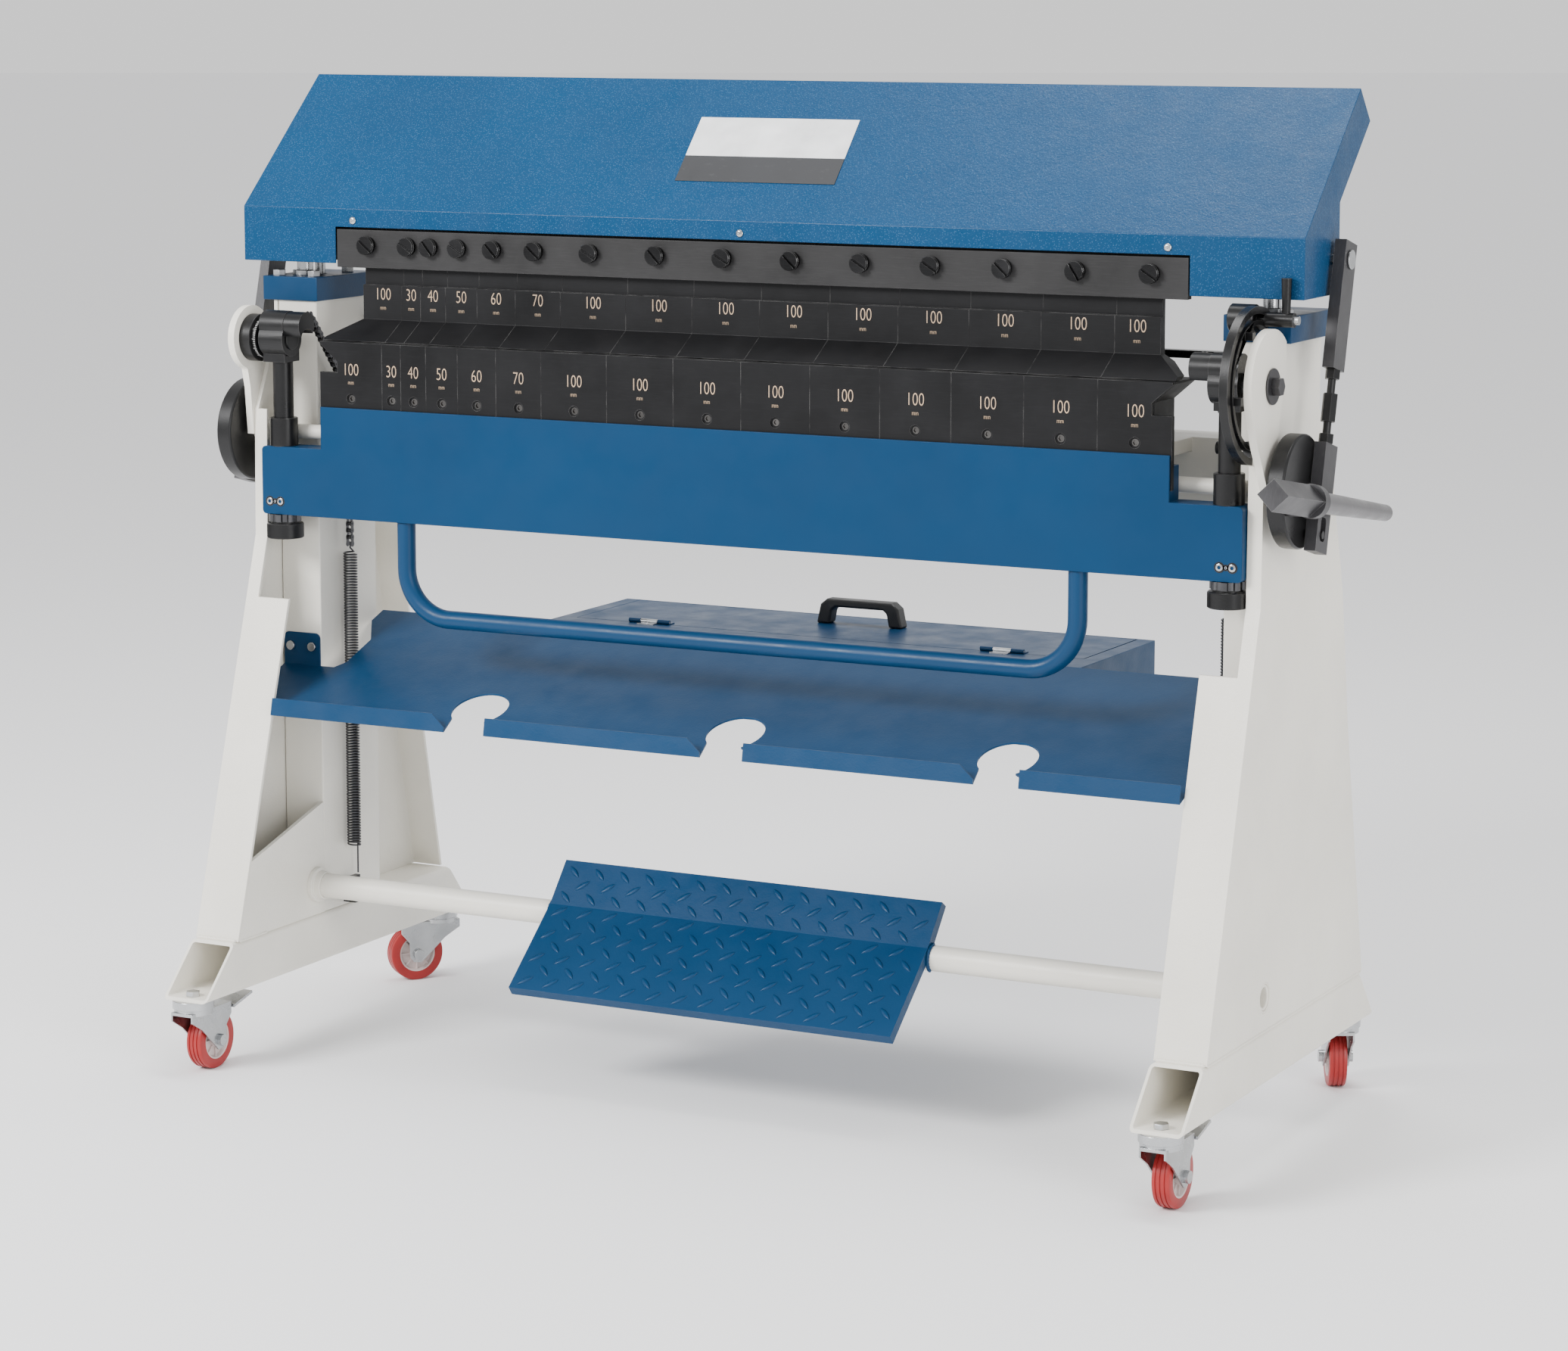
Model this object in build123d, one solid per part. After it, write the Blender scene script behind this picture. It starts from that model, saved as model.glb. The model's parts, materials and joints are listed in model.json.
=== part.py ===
"""Segmented sheet metal folding brake on a wheeled stand, with hand lever and foot pedal.

Millimetres, +Z up, +X along the fold line, the working side faces -Y.  Shapes are laid out
from the centre of the blades (X), the front of the folding leaf's segments (Y) and the floor
(Z), and are moved at the end so that the origin is at the middle of the footprint.
"""
import os
from math import atan2, cos, degrees, hypot, radians, sin

from build123d import *

# ---- driving dimensions -------------------------------------------------------------------
SEGMENT_WIDTHS = [100, 30, 40, 50, 60, 70] + [100] * 9
SEGMENT_GAP = 0.2
HALF_BLADE = sum(SEGMENT_WIDTHS) / 2

FOLD_Y = 8.0            # fold line, the leaf's swing axis
FOLD_Z = 984.0
BED_FRONT = 9.0
SHEET_GAP = 1.0         # clamped sheet between the bed and the upper blades

PANEL_IN = 735.0        # outer sheets of the side frames
PANEL_OUT = 741.0
FRAME_IN = 671.0        # inner face of the side frames
TUBE = 70.0
TUBE_BOTTOM = 103.0
TUBE_TOP = TUBE_BOTTOM + TUBE
FRAME_FRONT = -150.6    # front edge of a side frame where it meets the base tube
FRAME_SLOPE = 0.295     # how far that edge leans back per millimetre of height
WIDE_FLANGE_TOP = 627.0

COLUMN_OUT = 733.0
COLUMN_FRONT = 62.0
COLUMN_BACK = 204.0
CAP_BOTTOM = 1032.0
CAP_TOP = 1065.0

HOOD_HALF = 777.0
HOOD_SKIN = 2.5
HOOD_BOTTOM = 1087.0
HOOD_PROFILE = [(45, 1087), (45, 1162), (235, 1339), (272, 1297), (166, 1200), (166, 1087)]
BEAM_FRONT, BEAM_BACK = 66.0, 156.0
BEAM_BOTTOM, BEAM_TOP = 1090.0, 1172.0
LIFT = 40.0             # travel of the upper beam

LEAF_HALF = 623.0
LEAF_END = 720.0
LEAF_BOTTOM = 742.0
LEAF_TOP = 894.0
LEAF_STEP = 836.0
LEAF_FRONT = -4.0
SPINDLE_X, SPINDLE_Y, SPINDLE_R = 695.0, 14.0, 14.0
HANDLE_X, HANDLE_Z, HANDLE_R = 496.0, 612.0, 12.5

CRANK_Y, CRANK_Z = 45.0, 853.0
CRANK_SHAFT_R = 10.0
DISC_IN, DISC_OUT, DISC_R = 757.5, 780.0, 71.0
CRANK_PIN = (62.0, 799.0)
CRANK_PIN_R = 5.0
LINK_PIN = (148.0, 1131.0)
LINK_PIN_R = 8.0
LINK_IN, LINK_OUT = 783.0, 798.0
LEVER_X = 815.0

PEDAL_Y, PEDAL_Z, PEDAL_SHAFT_R = 42.0, 216.0, 17.0
PEDAL_HALF = 283.0
PEDAL_ARM = 86.0        # pedal shaft to the lift rod's pin
PEDAL_ARM_TILT = 13.3   # degrees below level at rest
ROD_X, ROD_Y, ROD_R = 708.0, 129.0, 7.0
POST_X, POST_Y, POST_R = 714.0, 100.0, 11.0

CHAIN_X = 657.0
SPRING_Y, SPRING_R, SPRING_WIRE = 117.0, 10.2, 2.6
SPRING_TOP, SPRING_BOTTOM = 678.0, 258.0

TRAY_HALF = 668.0
TRAY_FOLD = (-67.0, 476.0)
TRAY_BACK = (216.0, 581.0)
TRAY_SKIN = 2.5
HOOK_CENTRES = [-356.0, 34.0, 424.0]
BOX_HALF, BOX_FRONT, BOX_BACK, BOX_BOTTOM, BOX_TOP = 413.0, 216.0, 470.0, 471.0, 581.0
BOX_SKIN = 2.0
LID_HALF, LID_FRONT, LID_BACK = 387.0, 284.0, 465.0
LID_AXIS = (282.5, 584.2)

WHEEL_R, WHEEL_HALF, TRAIL = 40.0, 12.0, 38.0
CASTER_X, CASTER_FRONT, CASTER_BACK = 706.0, -208.0, 415.0
# name, X, Y, direction in which the wheel trails (degrees from +X), has a brake
CASTERS = [
    ("front_left", -CASTER_X, CASTER_FRONT, 90.0, True),
    ("front_right", CASTER_X, CASTER_FRONT, 90.0, True),
    ("rear_left", -CASTER_X, CASTER_BACK, 231.8, False),
    ("rear_right", CASTER_X, CASTER_BACK, 116.8, False),
]
RUNNING_FIT = 0.05      # radial clearance of a shaft in its bore

nodes = {}


# ---- building blocks ----------------------------------------------------------------------
def block(x0, x1, y0, y1, z0, z1):
    centre = ((x0 + x1) / 2, (y0 + y1) / 2, (z0 + z1) / 2)
    return Pos(*centre) * Box(abs(x1 - x0), abs(y1 - y0), abs(z1 - z0))


def rod_x(x0, x1, y, z, r):
    return Pos((x0 + x1) / 2, y, z) * Rot(0, 90, 0) * Cylinder(r, abs(x1 - x0))


def rod_y(y0, y1, x, z, r):
    return Pos(x, (y0 + y1) / 2, z) * Rot(90, 0, 0) * Cylinder(r, abs(y1 - y0))


def rod_z(z0, z1, x, y, r):
    return Pos(x, y, (z0 + z1) / 2) * Cylinder(r, abs(z1 - z0))


def hex_x(x0, x1, y, z, r):
    return extrude(Plane.YZ.offset(x0) * Pos(y, z) * RegularPolygon(r, 6), amount=x1 - x0)


def hex_z(z0, z1, x, y, r):
    return extrude(Plane.XY.offset(z0) * Pos(x, y) * RegularPolygon(r, 6), amount=z1 - z0)


def slab_x(points, x0, x1):
    """Outline in Y and Z, extruded from x0 to x1."""
    return extrude(Plane.YZ.offset(x0) * Polygon(*points, align=None), x1 - x0, (1, 0, 0))


def slab_y(points, y0, y1):
    """Outline in X and Z, extruded from y0 to y1."""
    return extrude(Plane.XZ.offset(-y0) * Polygon(*points, align=None), y1 - y0, (0, 1, 0))


def slab_z(points, z0, z1):
    """Outline in X and Y, extruded from z0 to z1."""
    return extrude(Plane.XY.offset(z0) * Polygon(*points, align=None), z1 - z0, (0, 0, 1))


def other_side(shape):
    return mirror(shape, about=Plane.YZ)


def both(shape):
    return [shape, other_side(shape)]


def add(name, *shapes):
    """Keep every given shape as separate solids of one node."""
    solids = []
    for shape in shapes:
        solids += shape.solids()
    nodes[name] = solids


def segment_edges():
    """Left and right edge of each blade segment."""
    x = -HALF_BLADE
    for width in SEGMENT_WIDTHS:
        yield x + SEGMENT_GAP / 2, x + width - SEGMENT_GAP / 2
        x += width


def frame_edge(z):
    return FRAME_FRONT + FRAME_SLOPE * (z - TUBE_TOP)


# ---- stand --------------------------------------------------------------------------------
def base_tubes():
    outline = [(-228, TUBE_BOTTOM), (-158, TUBE_TOP), (390, TUBE_TOP), (448, TUBE_BOTTOM)]
    tube = slab_x(outline, FRAME_IN, PANEL_OUT)
    tube = fillet(tube.edges().filter_by(Axis.Y), 7)
    bore = block(FRAME_IN + 4, PANEL_OUT - 4, -300, 500, TUBE_BOTTOM + 4, TUBE_TOP - 4)
    tube -= fillet(bore.edges().filter_by(Axis.Y), 3.5)
    for y in (CASTER_FRONT, CASTER_BACK):
        tube -= rod_z(TUBE_BOTTOM - 1, TUBE_BOTTOM + 5, CASTER_X, y, 5)
    add("base_tubes", *both(tube))


def side_panels():
    flange = 5.0
    front_low, front_mid, front_top = (FRAME_FRONT, TUBE_TOP), (7.8, 710), (11, 885)
    back_low, back_mid, back_top = (400, TUBE_TOP), (328, 523), (300, 700)
    outline = [front_low, front_mid, front_top, (30, 925), (COLUMN_FRONT, 1000),
               (COLUMN_FRONT, CAP_TOP - 4), (COLUMN_BACK, CAP_TOP - 4), (COLUMN_BACK, 940),
               (262, 830), back_top, back_mid, back_low]
    panel = slab_x(outline, PANEL_IN, PANEL_OUT)
    edge = frame_edge(WIDE_FLANGE_TOP)
    wide = [front_low, (edge, WIDE_FLANGE_TOP), (edge + flange, WIDE_FLANGE_TOP),
            (FRAME_FRONT + flange, TUBE_TOP)]
    panel += slab_x(wide, FRAME_IN, PANEL_IN)
    narrow = [(edge, WIDE_FLANGE_TOP), front_mid, front_top, (11 + flange, 885),
              (7.8 + flange, 710), (edge + flange, WIDE_FLANGE_TOP)]
    panel += slab_x(narrow, PANEL_OUT - 20, PANEL_IN)
    back = [back_low, back_mid, back_top, (300 - flange, 700), (328 - flange, 523),
            (400 - flange, TUBE_TOP)]
    panel += slab_x(back, PANEL_IN - 45, PANEL_IN)
    panel -= rod_x(PANEL_IN - 1, PANEL_OUT + 1, CRANK_Y, CRANK_Z, 16)
    panel -= rod_x(PANEL_IN - 1, PANEL_OUT + 1, PEDAL_Y, PEDAL_Z, 19.5)
    add("side_panels", *both(panel))


def columns():
    wall = 4.0
    column = block(FRAME_IN, COLUMN_OUT, COLUMN_FRONT, COLUMN_BACK, TUBE_TOP, CAP_TOP - 4)
    column -= block(FRAME_IN + wall, COLUMN_OUT - wall, COLUMN_FRONT + wall,
                    COLUMN_BACK - wall, TUBE_TOP - 1, CAP_TOP)
    column -= block(686, 720, COLUMN_FRONT - 1, COLUMN_FRONT + wall + 1, TUBE_TOP + 5, 280)
    add("columns", *both(column))


def head_plates():
    behind = [(33, 923), (56, 1010), (56, 1100), (120, 1100), (120, 840), (24, 840)]

    def plate(radius, neck, thick=10.0):
        face = Plane.YZ.offset(PANEL_OUT)
        shape = extrude(face * (Pos(FOLD_Y, FOLD_Z) * Circle(radius)), amount=thick)
        shape += slab_x(neck, PANEL_OUT, PANEL_OUT + thick)
        shape -= slab_x(behind, PANEL_OUT - 1, PANEL_OUT + thick + 1)
        return shape - rod_x(PANEL_OUT - 1, PANEL_OUT + thick + 1, FOLD_Y, FOLD_Z, 15)

    large = plate(70, [(-58, 960), (-38, 915), (-20, 887), (2, 850), (40, 850), (70, 960)])
    small = plate(44, [(-34, 985), (-16, 958), (-4, 940), (2, 915), (8, 850), (40, 850), (60, 985)])
    add("head_plates", large, other_side(small))


def gusset_plates():
    front = frame_edge(TUBE_TOP) + 5
    outline = [(front, TUBE_TOP), (front + FRAME_SLOPE * 105, TUBE_TOP + 105),
               (COLUMN_FRONT, 330), (COLUMN_FRONT, TUBE_TOP)]
    plate = slab_x(outline, FRAME_IN, FRAME_IN + 6)
    plate -= rod_x(FRAME_IN - 1, FRAME_IN + 7, PEDAL_Y, PEDAL_Z, 19.5)
    add("gusset_plates", *both(plate))


def column_caps():
    cap = block(FRAME_IN - 4, 756, COLUMN_FRONT - 4, COLUMN_BACK + 4, CAP_BOTTOM, CAP_TOP)
    cap -= block(FRAME_IN, 752, COLUMN_FRONT, COLUMN_BACK, CAP_BOTTOM - 1, CAP_TOP - 4)
    cap -= rod_z(CAP_TOP - 5, CAP_TOP + 1, ROD_X, ROD_Y, ROD_R + 2)
    add("column_caps", *both(cap))


def guide_posts():
    post = rod_z(CAP_TOP, 1178, POST_X, POST_Y, POST_R) + rod_z(CAP_TOP, 1072, POST_X, POST_Y, 17)
    bolts = [hex_z(CAP_TOP, CAP_TOP + 8, x, y, 9.5) for x, y in ((685, 78), (742, 78), (690, 170))]
    shapes = both(post)
    for bolt in bolts:
        shapes += both(bolt)
    add("guide_posts", *shapes)


def bed():
    beam = block(-FRAME_IN, FRAME_IN, 128, 198, 800, 903)
    beam -= block(-FRAME_IN - 1, FRAME_IN + 1, 134, 192, 806, 897)
    beam += block(-600, 600, 12, 128, 885, 903)
    add("bed_beam", beam)
    tip = HALF_BLADE + 1
    inner = HALF_BLADE - 28
    undercut = slab_y([(tip, 902), (inner, 902), (inner, 957), (tip, FOLD_Z - 2)], 0, 80)
    segments = []
    for x0, x1 in segment_edges():
        segment = block(x0, x1, BED_FRONT, 75, 903, FOLD_Z)
        segment -= undercut
        segment -= other_side(undercut)
        segments.append(segment)
    add("bed_segments", *segments)
    add("rear_tie_bar", block(-FRAME_IN, FRAME_IN, 186, 202, 996, 1006))


def pivots():
    pin = rod_x(674, 751, FOLD_Y, FOLD_Z, 15)
    washer = rod_x(751, 754, FOLD_Y, FOLD_Z, 22.5)
    head = hex_x(754, 764, FOLD_Y, FOLD_Z, 12)
    add("pivot_bolts", *both(pin), *both(washer), *both(head))
    drum = rod_x(-PANEL_OUT, -724, FOLD_Y, FOLD_Z, 32.5) - rod_x(-742, -720, FOLD_Y, FOLD_Z, 15)
    ring = rod_x(-724, -718, FOLD_Y, FOLD_Z, 27) - rod_x(-725, -717, FOLD_Y, FOLD_Z, 15)
    add("scale_drum", drum, ring)


def ring_sector(r_in, r_out, start, stop, x0, x1):
    """Part of a ring round the fold axis; angles in degrees from +Y towards +Z."""
    steps = [start + (stop - start) * i / 4 for i in range(5)]
    reach = r_out * 1.5
    wedge = [(FOLD_Y, FOLD_Z)]
    wedge += [(FOLD_Y + reach * cos(radians(a)), FOLD_Z + reach * sin(radians(a))) for a in steps]
    ring = rod_x(x0, x1, FOLD_Y, FOLD_Z, r_out) - rod_x(x0 - 1, x1 + 1, FOLD_Y, FOLD_Z, r_in)
    return ring & slab_x(wedge, x0, x1)


def angle_arc():
    arc = ring_sector(74, 97, 62, 264, 720, 731)
    arc -= ring_sector(80, 88, 66, 259, 719, 732)
    for angle in (radians(120), radians(190), radians(259)):
        y, z = FOLD_Y + 73 * cos(angle), FOLD_Z + 73 * sin(angle)
        arc += block(724, PANEL_OUT, y - 5, y + 5, z - 5, z + 5)
    add("angle_arc", arc)


def angle_stop():
    """Roller that stops the leaf, clamped in the arc's slot by a lever."""
    angle = radians(70)
    y, z = FOLD_Y + 84 * cos(angle), FOLD_Z + 84 * sin(angle)
    roller = rod_x(686, 719.7, y, z, 18)
    roller = chamfer(roller.edges().filter_by(GeomType.CIRCLE), 1.5)
    bolt = rod_x(719.7, 731.3, y, z, 3.7)
    hub = rod_x(731.3, 768, y, z, 9) + rod_x(768, 774, y, z, 5.5)
    handle = Pos(757, y, z + 29) * Cone(5.2, 6.5, 44)
    add("angle_stop", roller + bolt + hub + handle)


def shaft_bushes():
    crank = rod_x(COLUMN_OUT, 757, CRANK_Y, CRANK_Z, 16)
    crank -= rod_x(COLUMN_OUT - 1, 758, CRANK_Y, CRANK_Z, CRANK_SHAFT_R + RUNNING_FIT)
    bore = rod_x(650, 750, PEDAL_Y, PEDAL_Z, PEDAL_SHAFT_R + RUNNING_FIT)
    inner = rod_x(FRAME_IN - 7, FRAME_IN, PEDAL_Y, PEDAL_Z, 24.5)
    inner += rod_x(FRAME_IN - 17, FRAME_IN + 6, PEDAL_Y, PEDAL_Z, 19.5)
    outer = rod_x(COLUMN_OUT, PANEL_OUT, PEDAL_Y, PEDAL_Z, 19.5)
    add("shaft_bushes", *both(crank), *both(inner - bore), *both(outer - bore))


# ---- counterbalance -----------------------------------------------------------------------
PULLEY_Y, PULLEY_Z, PULLEY_R = 97.0, 895.0, 12.0
CHAIN_TURN = 20.0       # radius of the chain's middle round the pulley
HUB_Y, HUB_Z, HUB_R = 6.0, 1003.0, 19.0


def counterbalance():
    pulley = rod_x(652, 662, PULLEY_Y, PULLEY_Z, PULLEY_R)
    spacer = rod_x(662, FRAME_IN, PULLEY_Y, PULLEY_Z, 7) + rod_x(646, 652, PULLEY_Y, PULLEY_Z, 8)
    anchor = block(651, FRAME_IN, SPRING_Y - 8, SPRING_Y + 8, 178, 204)
    anchor += block(653, 661, SPRING_Y - 8, SPRING_Y + 8, 204, 216)
    anchor -= rod_y(SPRING_Y - 9, SPRING_Y + 9, CHAIN_X, 208, 2.4)
    add("chain_fittings", *both(pulley), *both(spacer), *both(anchor))

    tube = rod_z(SPRING_BOTTOM, SPRING_TOP, CHAIN_X, SPRING_Y, SPRING_R)
    tube -= rod_z(SPRING_BOTTOM - 1, SPRING_TOP + 1, CHAIN_X, SPRING_Y, SPRING_R - SPRING_WIRE)
    hook = rod_z(217, SPRING_BOTTOM, CHAIN_X, SPRING_Y + SPRING_R - 1.3, 1.3)
    add("springs", *both(tube + hook))

    half = 3.5
    y_down = PULLEY_Y + CHAIN_TURN
    lean = atan2(PULLEY_Y - HUB_Y, HUB_Z - PULLEY_Z)
    top = (PULLEY_Y + CHAIN_TURN * cos(lean), PULLEY_Z + CHAIN_TURN * sin(lean))
    reach = HUB_R + half + 0.5
    start = (HUB_Y + reach * cos(lean), HUB_Z + reach * sin(lean))
    path = Plane.YZ.offset(CHAIN_X) * FilletPolyline(
        start, top, (y_down, PULLEY_Z - 12), (y_down, SPRING_TOP + 2), radius=9)
    section = Plane(origin=path @ 0, z_dir=path % 0) * Rectangle(2 * half, 2 * half)
    add("chains", *both(sweep(section, path)))


# ---- tray and box -------------------------------------------------------------------------
def tool_tray():
    (fold_y, fold_z), (back_y, back_z) = TRAY_FOLD, TRAY_BACK
    slope = (back_z - fold_z) / (back_y - fold_y)
    sheet = slab_x([(fold_y, fold_z), (back_y, back_z), (back_y, back_z - TRAY_SKIN * 1.08),
                    (fold_y, fold_z - TRAY_SKIN * 1.08)], -731, 731)
    corner = [(TRAY_HALF, -90), (TRAY_HALF, -44), (732, -44), (732, -90)]
    column_gap = [(732, 59.5), (672, 59.5), (649, 59.5), (638, 75), (638, 137),
                  (TRAY_HALF, 186), (TRAY_HALF, 220), (732, 220)]
    for outline in (corner, column_gap):
        cut = slab_z(outline, 400, 620)
        sheet -= cut
        sheet -= other_side(cut)
    lip_top = fold_z + 21
    lip = slab_x([(fold_y, fold_z - 1), (fold_y + 5, lip_top), (fold_y + 2.4, lip_top),
                  (fold_y - 2.5, fold_z - 2)], -TRAY_HALF, TRAY_HALF)
    tray = sheet + lip
    for centre in HOOK_CENTRES:
        opening = [(centre - 41, -35), (centre - 34, -68), (centre - 34, -90), (centre + 30, -90),
                   (centre + 28, -64), (centre + 17, -42), (centre + 10, -38), (centre - 13, -8)]
        hook = slab_z(opening, 400, 620) + rod_z(400, 620, centre - 13, -8, 39)
        taper = slab_y([(centre - 56, lip_top + 1), (centre - 34, fold_z + 4),
                        (centre, fold_z + 4), (centre, lip_top + 1)], -90, fold_y + 6)
        tray -= hook
        tray -= taper
    z_ear = fold_z + slope * (COLUMN_FRONT - fold_y)
    ear = block(672, 731, COLUMN_FRONT - TRAY_SKIN, COLUMN_FRONT, z_ear - 3, 568)
    ear = fillet(ear.edges().filter_by(Axis.Y).group_by(Axis.Z)[-1], 8)
    holes = [rod_y(COLUMN_FRONT - 4, COLUMN_FRONT + 1, x, 549, 3.5) for x in (684, 719)]
    for hole in holes:
        ear -= hole
    tray += ear
    tray += other_side(ear)
    add("tool_tray", tray)
    screws = []
    for x in (684, 719):
        screw = rod_y(COLUMN_FRONT - TRAY_SKIN, COLUMN_FRONT, x, 549, 3.5)
        screw += rod_y(COLUMN_FRONT - TRAY_SKIN - 4, COLUMN_FRONT - TRAY_SKIN, x, 549, 6.5)
        screws += both(screw)
    add("tray_screws", *screws)


def storage_box():
    s = BOX_SKIN
    box = block(-BOX_HALF, BOX_HALF, BOX_FRONT, BOX_BACK, BOX_BOTTOM, BOX_TOP)
    box -= block(-BOX_HALF + s, BOX_HALF - s, BOX_FRONT + s, BOX_BACK - s,
                 BOX_BOTTOM + s, BOX_TOP - s)
    box -= block(-LID_HALF - 1, LID_HALF + 1, LID_FRONT - 1, LID_BACK + 1, BOX_TOP - 5, BOX_TOP + 1)
    add("storage_box", box)

    y, z = LID_AXIS
    fixed, moving = [], block(-LID_HALF, LID_HALF, LID_FRONT, LID_BACK, BOX_TOP - s, BOX_TOP)
    for x in (-270, 270):
        leaf = block(x - 13, x + 13, y - 14, y, BOX_TOP, BOX_TOP + 1.5)
        fixed.append(leaf + rod_x(x - 13, x + 13, y, z, 3) + rod_x(x - 32, x + 32, y, z, 1.5))
        for side in (-1, 1):
            x0, x1 = sorted((x + side * 13.5, x + side * 32))
            knuckle = rod_x(x0, x1, y, z, 3) + block(x0, x1, y, y + 14, BOX_TOP, BOX_TOP + 1.5)
            moving += knuckle - rod_x(x0 - 1, x1 + 1, y, z, 1.5 + RUNNING_FIT)
    add("box_hinges", *fixed)
    add("box_lid", moving)

    grip = slab_y([(-66, BOX_TOP), (-60, BOX_TOP + 27), (-50, BOX_TOP + 35), (50, BOX_TOP + 35),
                   (60, BOX_TOP + 27), (66, BOX_TOP), (46, BOX_TOP), (42, BOX_TOP + 20),
                   (36, BOX_TOP + 24), (-36, BOX_TOP + 24), (-42, BOX_TOP + 20), (-46, BOX_TOP)],
                  394, 416)
    add("lid_handle", grip)


# ---- upper beam ---------------------------------------------------------------------------
def hood():
    shell = slab_x(HOOD_PROFILE, -HOOD_HALF, HOOD_HALF)
    (y0, z0), (y1, z1), (y2, z2), (y3, z3), (y4, z4), (y5, z5) = HOOD_PROFILE
    s = HOOD_SKIN
    inside = [(y0 + s, z0 - 5), (y0 + s, z1 - 1.2), (y2 - 0.2, z2 - 3.6), (y3 - 3.4, z3 + 0.2),
              (y4 - s, z4 + 1.2), (y5 - s, z5 - 5)]
    shell -= slab_x(inside, -HOOD_HALF + s, HOOD_HALF - s)
    shell -= block(-HALF_BLADE - 2, HALF_BLADE + 2, y0 - 5, y0 + 10, z0 - 5, 1137)
    for side in (-1, 1):
        x = side * HOOD_HALF
        shell -= rod_x(x - 4, x + 4, *LINK_PIN, LINK_PIN_R)
    add("hood", shell)
    screws = [rod_y(42, 45, x, 1146, 5) for x in (-598, 0, 598)]
    add("hood_screws", *screws)


def upper_beam():
    end = HOOD_HALF - HOOD_SKIN
    beam = block(-end, end, BEAM_FRONT, BEAM_BACK, BEAM_BOTTOM, BEAM_TOP)
    beam -= block(-end + 12, end - 12, BEAM_FRONT + 8, BEAM_BACK - 8, BEAM_BOTTOM + 8, BEAM_TOP - 8)
    pins, bushes, rods = [], [], []
    for side in (-1, 1):
        beam -= rod_z(BEAM_BOTTOM - 1, BEAM_TOP + 1, side * POST_X, POST_Y, 16)
        x0, x1 = sorted((side * (end - 12), side * (LINK_OUT + 3)))
        beam -= rod_x(x0, x1, *LINK_PIN, LINK_PIN_R)
        bush = rod_z(BEAM_BOTTOM - 2, BEAM_TOP + 4, side * POST_X, POST_Y, 16)
        bushes.append(bush - rod_z(1000, 1300, side * POST_X, POST_Y, POST_R + RUNNING_FIT))
        clip = rod_x(side * (LINK_OUT + 0.5), side * (LINK_OUT + 3), *LINK_PIN, 12)
        pins.append(rod_x(x0, x1, *LINK_PIN, LINK_PIN_R) + clip)
        rods.append(lift_rod(side))
    add("upper_beam", beam)
    add("guide_bushes", *bushes)
    add("link_pins", *pins)
    add("lift_rods", *rods)


def lift_rod(side):
    """Rod inside a column, with a slotted foot for the pedal arm's pin."""
    z_pin = PEDAL_Z - PEDAL_ARM * sin(radians(PEDAL_ARM_TILT))
    foot = block(704, 712, ROD_Y - 15, ROD_Y + 15, z_pin - 13, z_pin + 40)
    slot = block(703, 713, ROD_Y - 9, ROD_Y + 9, z_pin - 5.8, z_pin + 5.8)
    rod = foot - slot + rod_z(z_pin + 40, BEAM_BOTTOM, ROD_X, ROD_Y, ROD_R)
    return rod if side > 0 else other_side(rod)


def upper_blades():
    nose = FOLD_Z + SHEET_GAP
    outline = [(FOLD_Y + 0.5, nose), (52, 1012), (52, 1059), (58, 1059), (58, 1130),
               (BEAM_FRONT, 1130), (BEAM_FRONT, 1004), (30, nose)]
    tip, inner = HALF_BLADE + 1, HALF_BLADE - 38
    undercut = slab_y([(tip, nose + 3.5), (inner, 1012), (inner, 1131), (tip, 1131)], 0, 90)
    segments, knobs = [], []
    for x0, x1 in segment_edges():
        segment = slab_x(outline, x0, x1)
        segment -= undercut
        segment -= other_side(undercut)
        segments.append(segment)
        knob = rod_y(36, 46, (x0 + x1) / 2, 1113, 11)
        knobs.append(chamfer(knob.edges().filter_by(GeomType.CIRCLE), 0.8))
    add("upper_segments", *segments)
    add("clamp_knobs", *knobs)
    add("clamp_strip", block(-HALF_BLADE, HALF_BLADE, 46, 58, 1082, 1134))


# ---- clamping crank, links and pedal --------------------------------------------------------
def link(side):
    """Adjustable link: two forks, a screw, its turning nut and two lock nuts."""
    top_y, top_z = LINK_PIN
    drop = top_z - CRANK_PIN[1]
    shift = top_y - CRANK_PIN[0]
    length = hypot(drop, shift)
    mid = (LINK_IN + LINK_OUT) / 2
    upper = block(LINK_IN, LINK_OUT, -20, 20, -138, 22)
    upper -= rod_x(LINK_IN - 1, LINK_OUT + 1, 0, 0, LINK_PIN_R + RUNNING_FIT)
    lower = block(LINK_IN, LINK_OUT, -17, 25, -length - 22, -230)
    slot = block(LINK_IN - 1, LINK_OUT + 1, -6, 12, -length - 8, -length + 22)
    lower -= fillet(slot.edges().filter_by(Axis.X), 6)
    screw = rod_z(-230, -138, mid, 0, 5)
    nuts = [hex_z(z0, z1, mid, 0, 9.5) for z0, z1 in ((-150, -138), (-203, -168), (-230, -218))]
    tilt = Pos(0, top_y, top_z) * Rot(-degrees(atan2(shift, drop)), 0, 0)
    pieces = [tilt * piece for piece in [upper, lower, screw - nuts[0] - nuts[1] - nuts[2], *nuts]]
    return pieces if side > 0 else [other_side(piece) for piece in pieces]


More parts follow.
